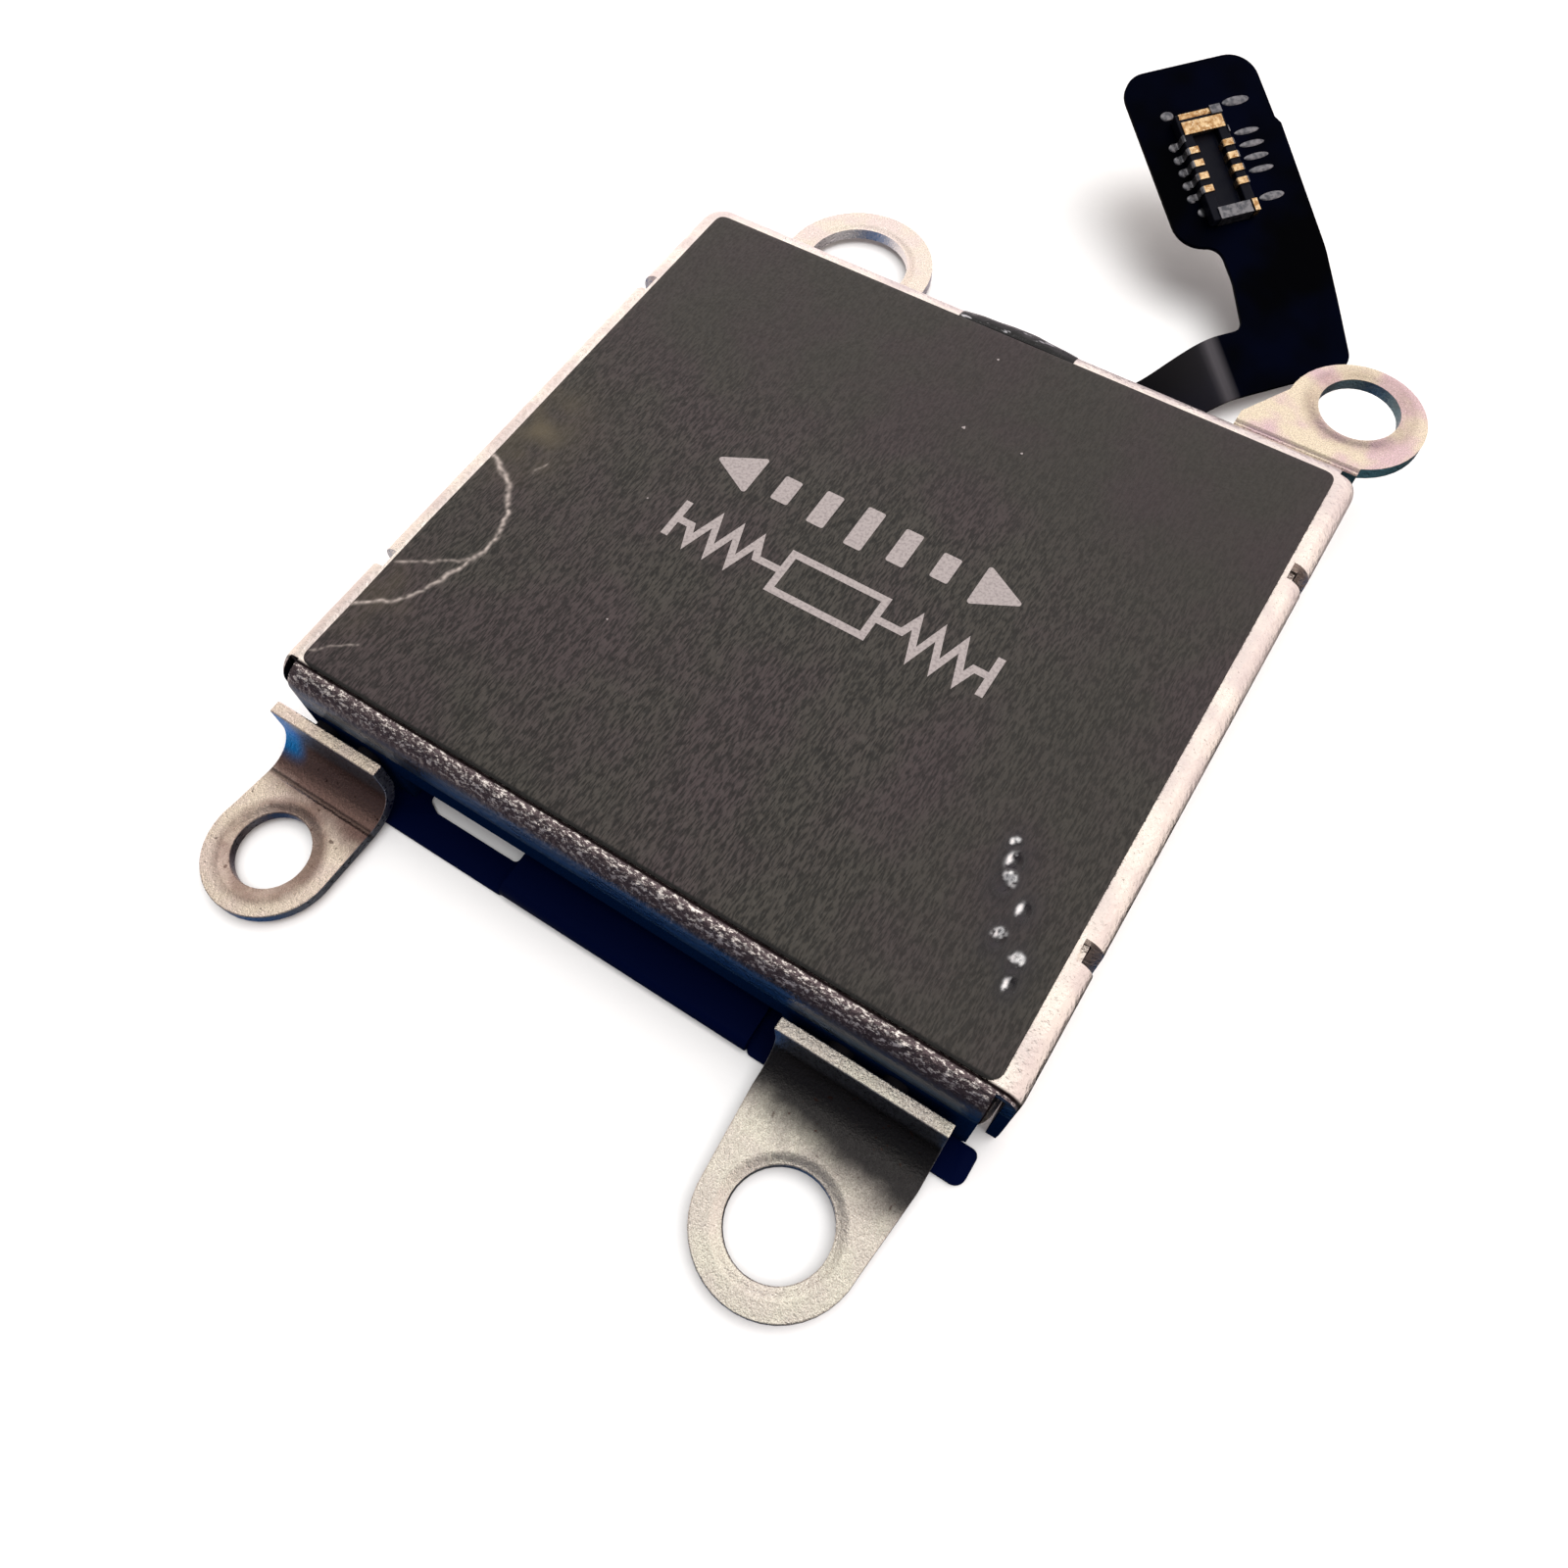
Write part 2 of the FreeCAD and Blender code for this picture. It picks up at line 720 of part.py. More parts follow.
def make_contacts():
    """Gold-plated contacts: each laps over the housing's wall and ends in a foot on the flex."""
    contacts = []
    top = "flex_sheet / 2 + housing_tall"
    for side in (-1, 1):
        for place in CONTACT_ROWS:
            low = f"contact_centre + {place} * contact_pitch - contact_width / 2"
            wall = "housing_width / 2"
            lap = ("well_width / 2 - contact_sheet", f"{wall} + contact_sheet")
            leg = (wall, f"{wall} + contact_sheet")
            foot = (wall, f"{wall} + contact_foot")
            parts = []
            for (near, far), level, height in (
                (lap, top, "contact_sheet"),
                (leg, "flex_sheet / 2", "housing_tall"),
                (foot, "flex_sheet / 2", "contact_sheet"),
            ):
                start = f"housing_centre + {near}" if side > 0 else f"housing_centre - ({far})"
                parts.append(box(start, low, level, f"{far} - ({near})", "contact_width", height))
            contacts.append(fuse(parts))
    return on_head(group("connector_contacts", contacts))


def make_end_bars():
    """Wide power bar at the far end of the connector and the retaining bar at its near end."""
    for name in ("power", "ground"):
        bar = box("housing_centre - housing_width / 2", f"{name}_bar_low", "flex_sheet / 2 + housing_tall",
                  "housing_width", f"{name}_bar_high - {name}_bar_low", "contact_sheet")
        on_head(group(f"connector_{name}_bar", [bar]))


def make_solder_pads():
    """Bare pads on the flex: a long one beside each right-hand foot, and one at each corner of the connector."""
    long_pads = [f"contact_centre + {place} * contact_pitch - pad_width / 2" for place in CONTACT_ROWS[1:]]
    corners = ["end_pad_low - pad_width / 2", "end_pad_high - pad_width / 2"]
    places = [(low, "pad_left", "pad_right") for low in long_pads + corners]
    places += [(low, "short_pad_left", "short_pad_right") for low in corners]
    pads = [box(left, low, "flex_sheet / 2", f"{right} - ({left})", "pad_width", "pad_sheet")
            for low, left, right in places]
    return on_head(group("solder_pads", pads))


# Motor inside the case ----------------------------------------------------------------------------

def make_coil(label, side):
    part = body(label)
    bind(part, "Placement.Base.x", f"{side} * coil_pitch / 2")
    level = "tray_floor + flex_sheet"
    pad(part, centred_rectangle(sketch_on(part, level=level), "coil_width", "coil_length"), "coil_tall")
    round_edges(part, "(coil_width - coil_window_width) / 2", upright)
    window = sketch_on(part, level=f"{level} + coil_tall")
    centred_rectangle(window, "coil_window_width", "coil_window_length")
    pocket(part, window, "coil_tall")
    return part


def make_mass_block():
    """Heavy frame of the moving mass: a window for the magnets, relieved below where the coils lie."""
    part = body("mass_block")
    pad(part, centred_rectangle(sketch_on(part, level="mass_low"), "mass_width", "mass_depth"),
        "mass_high - mass_low")
    round_edges(part, "mass_corner", upright)
    window = sketch_on(part, level="mass_high")
    centred_rectangle(window, "yoke_width + 2 * magnet_fit", "yoke_length + 2 * magnet_fit")
    pocket(part, window, "mass_high - mass_low")
    relief = sketch_on(part, level="mass_low")
    centred_rectangle(relief, "mass_width + 2 * cut_margin", "mass_relief_depth")
    pocket(part, relief, "magnet_level - mass_low", along_normal=True)
    return part


def make_magnets():
    for index, place in enumerate((-1.5, -0.5, 0.5, 1.5), start=1):
        magnet = box(f"{place} * magnet_pitch - magnet_width / 2", "-magnet_length / 2", "magnet_level",
                     "magnet_width", "magnet_length", "magnet_tall")
        keep(magnet, f"magnet_{index}")


def make_yoke():
    part = body("yoke_plate")
    level = "magnet_level + magnet_tall"
    pad(part, centred_rectangle(sketch_on(part, level=level), "yoke_width", "yoke_length"),
        f"mass_high - ({level})")
    return part


SPRING_WALL = "(case_width / 2 - cover_sheet - shell_gap - tray_sheet)"
MASS_FACE = "(mass_width / 2)"


def make_leaf_spring(label, side):
    """Flat strip on edge: one end lies on the case wall, the other on the mass, with a slant between."""
    part = body(label)
    part.Placement.Rotation = Rotation(Vector(0, 0, 1), 0 if side < 0 else 180)
    strip = sketch_on(part, level="spring_low")
    wall, face = f"-{SPRING_WALL}", f"-{MASS_FACE}"
    polygon(strip, [
        (wall, "spring_end"),
        (wall, "spring_knee"),
        (f"{face} - spring_sheet", "-spring_knee"),
        (f"{face} - spring_sheet", "-spring_end"),
        (face, "-spring_end"),
        (face, "-spring_knee"),
        (f"{wall} + spring_sheet", "spring_knee"),
        (f"{wall} + spring_sheet", "spring_end"),
    ])
    pad(part, strip, "spring_high - spring_low")
    return part


def make_weld_plates():
    """Small plates that clamp the spring ends: two on the case walls, two on the mass."""
    middle = "(spring_low + spring_high) / 2 - weld_plate_tall / 2"
    start = "(spring_end + spring_knee) / 2 - weld_plate_length / 2"
    case_side, mass_side = [], []
    for side in (-1, 1):
        near = f"{SPRING_WALL} - spring_sheet - weld_plate_sheet"
        x = near if side > 0 else f"-({near} + weld_plate_sheet)"
        y = start if side < 0 else f"-({start}) - weld_plate_length"
        case_side.append(box(x, y, middle, "weld_plate_sheet", "weld_plate_length", "weld_plate_tall"))
        near = f"{MASS_FACE} + spring_sheet"
        x = near if side > 0 else f"-({near} + weld_plate_sheet)"
        y = f"-({start}) - weld_plate_length" if side < 0 else start
        mass_side.append(box(x, y, middle, "weld_plate_sheet", "weld_plate_length", "weld_plate_tall"))
    group("case_weld_plates", case_side)
    group("mass_weld_plates", mass_side)


def make_end_stops():
    """Rubber pads on the case walls, which the mass reaches only when the part is dropped."""
    pads = []
    for side in (-1, 1):
        near = f"{SPRING_WALL} - stop_thick"
        x = near if side > 0 else f"-({near} + stop_thick)"
        y = f"{side} * stop_centre - stop_length / 2"
        pads.append(box(x, y, "stop_low", "stop_thick", "stop_length", "stop_tall"))
    return group("end_stop_pads", pads)


def make_electronics():
    """Hall sensor in one coil's window, two capacitors in the other's, and four soldered coil ends."""
    level = "tray_floor + flex_sheet"
    sensor = box("-coil_pitch / 2 - sensor_side / 2", "-sensor_side / 2", level,
                 "sensor_side", "sensor_side", "sensor_tall")
    keep(sensor, "hall_sensor")
    capacitors = [
        box("coil_pitch / 2 - capacitor_width / 2", f"{side} * capacitor_place - capacitor_length / 2", level,
            "capacitor_width", "capacitor_length", "capacitor_width")
        for side in (-1, 1)
    ]
    group("capacitors", capacitors)
    joints = [
        box(f"{side} * coil_pitch / 2 + {end} * joint_place - joint_side / 2",
            "-coil_length / 2 - joint_gap - joint_side", level, "joint_side", "joint_side", "joint_tall")
        for side in (-1, 1) for end in (-1, 1)
    ]
    group("coil_solder_joints", joints)


# Assembly and export ------------------------------------------------------------------------------

make_base_tray()
make_top_cover()
make_label_film()
make_rear_tape()
make_lug("front_left", -1)
make_lug("front_right", -1)
make_lug("rear_left", 1)
make_lug("rear_right", 1, upper=True)
make_weld_spots()
make_flex_circuit()
make_flex_bend()
make_flex_tail()
make_stiffener()
make_housing()
make_contacts()
make_end_bars()
make_solder_pads()
make_coil("left_coil", -1)
make_coil("right_coil", 1)
make_mass_block()
make_magnets()
make_yoke()
make_leaf_spring("left_leaf_spring", -1)
make_leaf_spring("right_leaf_spring", 1)
make_weld_plates()
make_end_stops()
make_electronics()

doc.recompute()
for item in doc.Objects:
    if {"Invalid", "Error"} & set(item.State):
        raise RuntimeError(f"{item.Label} did not compute: {item.State}")
for node in nodes:
    if node.Shape.isNull() or not node.Shape.isValid():
        raise RuntimeError(f"{node.Label} has no valid shape")

os.makedirs("parts", exist_ok=True)
for node in nodes:
    node.Shape.exportStep(f"parts/{node.Label}.step")
    bounds = node.Shape.BoundBox
    print(f"{node.Label}: {len(node.Shape.Solids)} solid(s), {node.Shape.Volume:.3f} mm3, "
          f"x {bounds.XMin:.2f} to {bounds.XMax:.2f}, y {bounds.YMin:.2f} to {bounds.YMax:.2f}, "
          f"z {bounds.ZMin:.2f} to {bounds.ZMax:.2f}")
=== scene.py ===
"""Looks of the linear haptic actuator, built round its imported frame.

Lengths are in millimetres until a mesh or a light is made, which is in metres like the frame.
"""

import json
import math
import random

import bmesh
import bpy
from mathutils import Euler, Matrix, Vector
from mathutils.noise import noise as smooth_noise


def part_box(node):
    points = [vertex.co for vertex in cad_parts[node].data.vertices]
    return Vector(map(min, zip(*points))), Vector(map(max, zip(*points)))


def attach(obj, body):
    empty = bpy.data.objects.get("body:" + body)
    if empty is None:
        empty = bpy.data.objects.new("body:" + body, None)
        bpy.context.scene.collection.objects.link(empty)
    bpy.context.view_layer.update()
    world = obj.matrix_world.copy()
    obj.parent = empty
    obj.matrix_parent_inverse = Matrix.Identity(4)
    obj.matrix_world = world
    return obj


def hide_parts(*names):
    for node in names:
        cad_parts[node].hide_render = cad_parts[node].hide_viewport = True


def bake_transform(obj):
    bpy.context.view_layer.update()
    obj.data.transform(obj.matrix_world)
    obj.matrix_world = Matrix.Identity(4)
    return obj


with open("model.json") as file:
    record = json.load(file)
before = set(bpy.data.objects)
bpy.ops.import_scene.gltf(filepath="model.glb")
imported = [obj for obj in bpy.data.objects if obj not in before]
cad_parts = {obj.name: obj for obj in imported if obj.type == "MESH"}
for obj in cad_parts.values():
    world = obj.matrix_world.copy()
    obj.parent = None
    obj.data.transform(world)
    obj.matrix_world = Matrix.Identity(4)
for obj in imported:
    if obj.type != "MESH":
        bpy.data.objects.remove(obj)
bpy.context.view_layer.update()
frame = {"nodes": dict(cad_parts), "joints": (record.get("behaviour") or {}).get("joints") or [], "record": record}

MM = 0.001
JOINTS = {joint["name"]: joint for joint in frame["joints"]}
MOUNTS = {mount["name"]: mount for mount in frame["record"]["mounts"]}
MIX_COLOURS = (6, 7)    # a Mix node's two colour inputs, and its colour output
MIX_RESULT = 2


def span(node):
    """Lowest and highest corner of a CAD node, in millimetres."""
    low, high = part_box(node)
    return low / MM, high / MM


# Materials ----------------------------------------------------------------------------------------

class Look:
    """A Principled material and short calls for the nodes that feed it. Sizes are in millimetres."""

    def __init__(self, name, color, roughness, metallic=0.0, specular=0.5, coat=0.0):
        self.material = bpy.data.materials.new(name)
        self.material.use_nodes = True
        self.tree = self.material.node_tree
        self.shader = self.tree.nodes["Principled BSDF"]
        self.place = self.node("ShaderNodeTexCoord").outputs["Object"]
        self.set("Base Color", (*color, 1))
        self.set("Roughness", roughness)
        self.set("Metallic", metallic)
        self.set("Specular IOR Level", specular)
        self.set("Coat Weight", coat)

    def node(self, kind, **settings):
        made = self.tree.nodes.new(kind)
        for name, value in settings.items():
            setattr(made, name, value)
        return made

    def join(self, source, target):
        self.tree.links.new(source, target)

    def set(self, name, value):
        """Feeds a shader input with a socket or a plain value."""
        if isinstance(value, bpy.types.NodeSocket):
            self.join(value, self.shader.inputs[name])
        else:
            self.shader.inputs[name].default_value = value

    def noise(self, size, detail=2.0, stretch=(1, 1, 1), turn=0.0, rough=0.5):
        """Noise whose features are about size across, and stretch times longer along each axis."""
        mapping = self.node("ShaderNodeMapping")
        self.join(self.place, mapping.inputs["Vector"])
        mapping.inputs["Scale"].default_value = [1 / s for s in stretch]
        mapping.inputs["Rotation"].default_value[2] = math.radians(turn)
        made = self.node("ShaderNodeTexNoise")
        made.inputs["Scale"].default_value = 1 / (size * MM)
        made.inputs["Detail"].default_value = detail
        made.inputs["Roughness"].default_value = rough
        self.join(mapping.outputs["Vector"], made.inputs["Vector"])
        return made.outputs["Fac"]

    def ramp(self, value, low, high, out_low=0.0, out_high=1.0):
        """A smooth step of a socket, from out_low where it is at low to out_high where it is at high."""
        made = self.node("ShaderNodeMapRange")
        made.interpolation_type = "SMOOTHSTEP"
        ends = {"From Min": low, "From Max": high, "To Min": out_low, "To Max": out_high}
        for name, number in ends.items():
            made.inputs[name].default_value = number
        self.join(value, made.inputs["Value"])
        return made.outputs["Result"]

    def math(self, operation, first, second=0.0):
        made = self.node("ShaderNodeMath", operation=operation)
        for index, value in enumerate((first, second)):
            if isinstance(value, bpy.types.NodeSocket):
                self.join(value, made.inputs[index])
            else:
                made.inputs[index].default_value = value
        return made.outputs[0]

    def blend(self, share, first, second):
        """A colour between two others, each a socket or three numbers."""
        made = self.node("ShaderNodeMix", data_type="RGBA")
        if isinstance(share, bpy.types.NodeSocket):
            self.join(share, made.inputs["Factor"])
        else:
            made.inputs["Factor"].default_value = share
        for index, value in zip(MIX_COLOURS, (first, second)):
            if isinstance(value, bpy.types.NodeSocket):
                self.join(value, made.inputs[index])
            else:
                made.inputs[index].default_value = (*value, 1)
        return made.outputs[MIX_RESULT]

    def times(self, first, *others):
        """Product of sockets and plain values."""
        for value in others:
            first = self.math("MULTIPLY", first, value)
        return first

    def past(self, axis, place):
        """How far beyond a place along an axis, in millimetres."""
        return self.math("SUBTRACT", self.along(axis), place)

    def attribute(self, name):
        return self.node("ShaderNodeAttribute", attribute_name=name).outputs["Fac"]

    def near(self, x, y):
        """Distance from an upright line at (x, y), in millimetres."""
        squares = [
            self.math("POWER", self.math("ABSOLUTE", self.past(axis, middle)), 2)
            for axis, middle in (("X", x), ("Y", y))
        ]
        return self.math("SQRT", self.math("ADD", *squares))

    def along(self, axis):
        """Place along an axis of the object's frame, in millimetres."""
        split = self.node("ShaderNodeSeparateXYZ")
        self.join(self.place, split.inputs[0])
        return self.times(split.outputs[axis], 1 / MM)

    def facing_up(self):
        split = self.node("ShaderNodeSeparateXYZ")
        self.join(self.node("ShaderNodeNewGeometry").outputs["Normal"], split.inputs[0])
        return split.outputs["Z"]

    def bumps(self, *layers):
        """Bump from pairs of height socket and depth in millimetres."""
        normal = None
        for height, depth in layers:
            made = self.node("ShaderNodeBump")
            made.inputs["Distance"].default_value = depth * MM
            self.join(height, made.inputs["Height"])
            if normal:
                self.join(normal, made.inputs["Normal"])
            normal = made.outputs["Normal"]
        self.set("Normal", normal)


def case_steel():
    """Drawn stainless sheet, warm and pebbled. Its front is painted dark: painted shade and a painted blue
    reflection low down, a painted dark reflection on the shoulder and painted highlight flecks along its top edge.
    """
    look = Look("case_steel", (0.8, 0.74, 0.71), 0.3, metallic=1.0)
    clouds, peel, grain = look.noise(0.9), look.noise(0.11, 3), look.noise(0.035, 2)
    clean = look.blend(look.ramp(clouds, 0.35, 0.65), (0.9, 0.83, 0.77), (0.78, 0.7, 0.68))
    specks = look.ramp(look.noise(0.06, 4, rough=0.7), 0.6, 0.68)
    worn = look.blend(look.times(specks, 0.7), clean, (0.3, 0.24, 0.22))
    up = look.along("Z")
    # Painted shade low on the front wall, deep navy, turning into a painted blue reflection higher up.
    shadowed = look.blend(look.ramp(up, 1.9, 2.25), (0.001, 0.006, 0.025), (0.04, 0.11, 0.22))
    # Painted blue-grey reflection further up the front.
    blue_grey_reflection = look.blend(look.ramp(up, 2.3, 2.5), shadowed, (0.13, 0.15, 0.2))
    # Painted dark reflection on the front shoulder.
    dark_reflection = look.blend(look.ramp(up, 2.6, 2.85), blue_grey_reflection, (0.13, 0.1, 0.11))
    # Painted highlight flecks in a band along the shoulder's top edge.
    highlight_flecks = look.ramp(look.noise(0.065, 4, stretch=(2.0, 1, 1), rough=0.75), 0.5, 0.6)
    highlight_band = look.times(highlight_flecks, look.ramp(up, 2.74, 2.96))
    highlit_front = look.blend(highlight_band, dark_reflection, (1.0, 0.93, 0.9))
    # Painted shadow line on the cover just in front of the label's front edge.
    shadow_line = look.blend(look.ramp(look.along("Y"), -7.27, -7.23), highlit_front, (0.01, 0.006, 0.007))
    front = look.ramp(look.along("Y"), -7.14, -7.2)
    look.set("Base Color", look.blend(front, worn, shadow_line))
    # Painted shade low on the front: metal and gloss are turned off there so it reflects nothing.
    painted_shade = look.times(front, look.ramp(up, 2.1, 1.9))
    look.set("Metallic", look.ramp(painted_shade, 0, 1, 1, 0))
    look.set("Specular IOR Level", look.ramp(painted_shade, 0, 1, 0.5, 0))
    look.set("Roughness", look.ramp(clouds, 0.3, 0.7, 0.24, 0.4))
    look.bumps((peel, 0.03), (grain, 0.005))
    return look.material


def plain(name, color, gloss, grain, depth, stretch=(1, 1, 1), **settings):
    """One colour, with patches of more and less gloss under fine bumps.

    gloss is the patches' size and detail and their two roughnesses. grain is the bumps' size and detail.
    """
    size, detail, *ends = gloss
    look = Look(name, color, ends[0], **settings)
    look.set("Roughness", look.ramp(look.noise(size, detail), 0.3, 0.7, *ends))
    look.bumps((look.noise(*grain, stretch=stretch), depth))
    return look.material


def mottled(name, colors, patches, roughness, grain, depth, stretch=(1, 1, 1), **settings):
    """Two colours in patches under fine bumps. patches and grain are each a size and a detail."""
    look = Look(name, colors[0], roughness, **settings)
    look.set("Base Color", look.blend(look.noise(*patches), *colors))
    look.bumps((look.noise(*grain, stretch=stretch), depth))
    return look.material


FLANGE_TOP = (1.66, 1.71)    # where a front lug's flange gives way to its bright upper edge
LUG_SHEET = 0.27


def shaded_round_bend(look, plate, bend, painted_shade, pitting):
    """A plate's colour with ragged painted shade round its bend, and with pits."""
    x, y, reach = bend
    aside = look.times(look.past("X", x), 0.15)
    across = look.math("ADD", look.past("Y", y), aside)
    ragged = look.math("ADD", across, look.times(look.noise(0.5, 4), 0.4))
    below_top = look.ramp(look.along("Z"), *FLANGE_TOP, 1, 0)
    # Painted shade round the bend, below the flange's bright top edge.
    bend_shade = look.times(look.ramp(ragged, 0.2 - reach, 0.25), below_top)
    shaded = look.blend(look.times(bend_shade, 0.97), plate, painted_shade)
    pitted = look.math("MAXIMUM", bend_shade, pitting)
    pits = look.times(look.ramp(look.noise(0.15, 2), 0.67, 0.74), pitted)
    return look.blend(pits, shaded, (0.05, 0.025, 0.02))


def blue_reflected(look, plate, reflects_blue_left_of):
    """A plate's colour with a painted blue reflection up its flange to the left of x = reflects_blue_left_of."""
    aside = look.ramp(look.along("X"), reflects_blue_left_of - 0.2, reflects_blue_left_of + 0.25, 1, 0)
    low = look.ramp(look.along("Z"), 0.45, 0.65)
    high = look.ramp(look.along("Z"), *FLANGE_TOP, 1, 0)
    return look.blend(look.times(aside, low, high), plate, (0.01, 0.3, 0.8))


def holed(look, plate, screw, rim_shade_and_pits):
    """A plate's colour with uneven brown painted shade round its hole, and the height of the rim coined there."""
    x, y = (MOUNTS[screw]["pos_m"][i] / MM for i in (0, 1))
    radius = MOUNTS[screw]["dims"]["r_mm"]
    away = look.near(x, y)
    uneven = look.times(look.ramp(look.noise(0.6, 3), 0.3, 0.6, 0.55, 1), rim_shade_and_pits)
    # Painted shade, brown and uneven, round the hole.
    shade_round_hole = look.times(look.ramp(away, radius + 0.22, radius + 0.45, 1, 0), uneven)
    return look.blend(shade_round_hole, plate, (0.2, 0.12, 0.1)), look.ramp(away, radius, radius + 0.26)


def lug_steel(name="lug_steel", tones=((1.0, 0.92, 0.79), (0.98, 0.82, 0.78)), upright_reflection=(0.3, 0.33, 0.4),
              upright_reflection_above=0.0, painted_shade=(0.1, 0.1, 0.1), bend=None, screw=None, rim_shade_and_pits=0.0, crease=None,
              reflects_blue_left_of=None):
    """Pressed stainless plate: satin with sparkling grain and a coined rim round its hole.

    Its upright faces above upright_reflection_above have the colour upright_reflection, a painted reflection. bend
    is where shade is painted round the plate's bend, as (x, y) of the middle of its bend and how far the painted
    shade reaches, and painted_shade is its colour. screw names the mount of its hole, and rim_shade_and_pits is
    how brown the painted shade round the hole is and, where there is a bend, how pitted the plate is. crease is
    the y of a scored line across the plate, painted dark as shade. reflects_blue_left_of is the x to the left of
    which a blue reflection is painted up the flange.
    """
    look = Look(name, (0.75, 0.69, 0.65), 0.36, metallic=1.0)
    clouds, grain, fine = look.noise(0.8), look.noise(0.055, 3, stretch=(1, 1.6, 1)), look.noise(0.028, 2)
    plate = look.blend(look.ramp(clouds, 0.38, 0.62), *tones)
    glitter = look.ramp(fine, 0.36, 0.6)
    colour = look.blend(glitter, look.blend(0.5, plate, (0.36, 0.29, 0.24)), plate)
    if bend:
        colour = shaded_round_bend(look, colour, bend, painted_shade, rim_shade_and_pits)
    # Painted reflection on upright faces: bluish grey, teal or pale, per lug.
    upright = look.ramp(look.math("ABSOLUTE", look.facing_up()), 0.1, 0.45, 1, 0)
    above = look.ramp(look.along("Z"), upright_reflection_above - 0.02, upright_reflection_above)
    colour = look.blend(look.times(upright, above), colour, upright_reflection)
    # Painted blue reflection up the flange.
    if reflects_blue_left_of:
        colour = blue_reflected(look, colour, reflects_blue_left_of)
    reliefs = [(grain, 0.014), (fine, 0.009)]
    if screw:
        colour, rim = holed(look, colour, screw, rim_shade_and_pits)
        reliefs.append((rim, 0.07))
    if crease:
        # The scored line is painted dark as shade in its groove.
        score = look.ramp(look.math("ABSOLUTE", look.past("Y", crease)), 0.01, 0.08, 1, 0)
        colour = look.blend(look.times(score, 0.6), colour, (0.09, 0.065, 0.055))
        reliefs.append((score, -0.02))
    look.set("Base Color", colour)
    look.set("Roughness", look.ramp(grain, 0.3, 0.7, 0.24, 0.4))
    look.bumps(*reliefs)
    return look.material


def label_skin():
    """Matt film with wavy ridges along Y, flatter at the back and the right, with painted shade in the hollows
    between the ridges.

    It is pale where creased, tanned where greasy, has painted glints of white metal on one side of each dent, and
    a painted shadow along the front edge.
    """
    look = Look("label_skin", (0.04, 0.034, 0.032), 0.5, specular=0.36)
    strokes = look.noise(0.038, 1.5, stretch=(0.9, 4.5, 1), turn=4, rough=0.5)
    keen_back = look.ramp(look.along("Y"), 1, 5, 1, 0.3)
    keen = look.times(keen_back, look.ramp(look.along("X"), 2, 6, 1, 0.6))
    ridges = look.ramp(strokes, 0.36, 0.64)
    pebbles = look.noise(0.07, 3)
    patches = look.ramp(look.noise(2.6, 2), 0.42, 0.62)
    clouds = look.ramp(look.noise(2.2, 3), 0.36, 0.66)
    # Painted shade in the hollows between the ridges; the crests keep the film's colour.
    shaded_hollow = look.blend(clouds, (0.006, 0.0055, 0.0045), (0.008, 0.0055, 0.006))
    crest = look.blend(clouds, (0.036, 0.032, 0.027), (0.04, 0.029, 0.03))
    ridged = look.blend(keen, look.blend(0.45, shaded_hollow, crest), look.blend(ridges, shaded_hollow, crest))
    greasy = look.blend(look.attribute("grease"), ridged, (0.065, 0.052, 0.032))
    creased = look.blend(look.attribute("crease"), greasy, (0.42, 0.36, 0.33))
    bruised = look.blend(look.attribute("bruise"), creased, (0.006, 0.005, 0.008))
    # Painted shadow along the film's front edge.
    front_shadowed = look.blend(look.ramp(look.along("Y"), -7.1, -7.15), bruised, (0.002, 0.002, 0.002))
    # Painted glints: shiny white metal on one side of each dent.
    look.set("Base Color", look.blend(look.attribute("dent_glint"), front_shadowed, (0.95, 0.95, 0.97)))
    look.set("Metallic", look.attribute("dent_glint"))
    rough = look.ramp(pebbles, 0.3, 0.7, 0.42, 0.6)
    look.set("Roughness", look.times(rough, look.ramp(look.attribute("bruise"), 0, 1, 1, 0.35)))
    patchy = look.times(pebbles, patches)
    look.bumps((look.times(strokes, keen), 0.012), (patchy, 0.008))
    return look.material


def label_ink():
    look = Look("label_ink", (0.3, 0.27, 0.265), 0.55)
    thin = look.ramp(look.noise(0.06, 3), 0.4, 0.7)
    look.set("Base Color", look.blend(thin, (0.33, 0.29, 0.285), (0.23, 0.2, 0.2)))
    look.bumps((look.noise(0.05, 3), 0.003))
    return look.material


def edge_tape():
    look = Look("edge_tape", (0.006, 0.006, 0.007), 0.2, specular=0.25)
    glints = look.ramp(look.noise(0.16, 2, stretch=(2.5, 1, 1)), 0.63, 0.7)
    look.set("Base Color", look.blend(glints, (0.005, 0.005, 0.006), (0.5, 0.5, 0.53)))
    look.set("Metallic", glints)
    look.set("Roughness", look.ramp(look.noise(0.4, 3), 0.3, 0.7, 0.14, 0.34))
    look.bumps((look.noise(0.3, 3), 0.04))
    return look.material


def flex_film():
    """Black-blue coverlay, with a painted blue reflection growing towards the front and a painted highlight streak
    where the tail is bent up.
    """
    look = Look("flex_film", (0.0003, 0.0005, 0.002), 0.42, specular=0.008)
    clouds = look.noise(1.8, 2)
    rear = look.blend(look.ramp(clouds, 0.38, 0.7), (0.0001, 0.0002, 0.0006), (0.0002, 0.0007, 0.0045))
    # Painted blue reflection, growing towards the front.
    film = look.blend(look.ramp(look.along("Y"), 4, -6), rear, (0.0006, 0.0022, 0.017))
    # Painted highlight streak along the ramp, strongest near its end.
    look.set("Base Color", look.blend(look.attribute("bend_highlight"), film, (0.075, 0.07, 0.078)))
    look.set("Roughness", look.ramp(clouds, 0.3, 0.7, 0.36, 0.48))
    look.bumps((look.noise(0.5, 1), 0.01), (look.noise(0.03, 2), 0.0015))
    return look.material


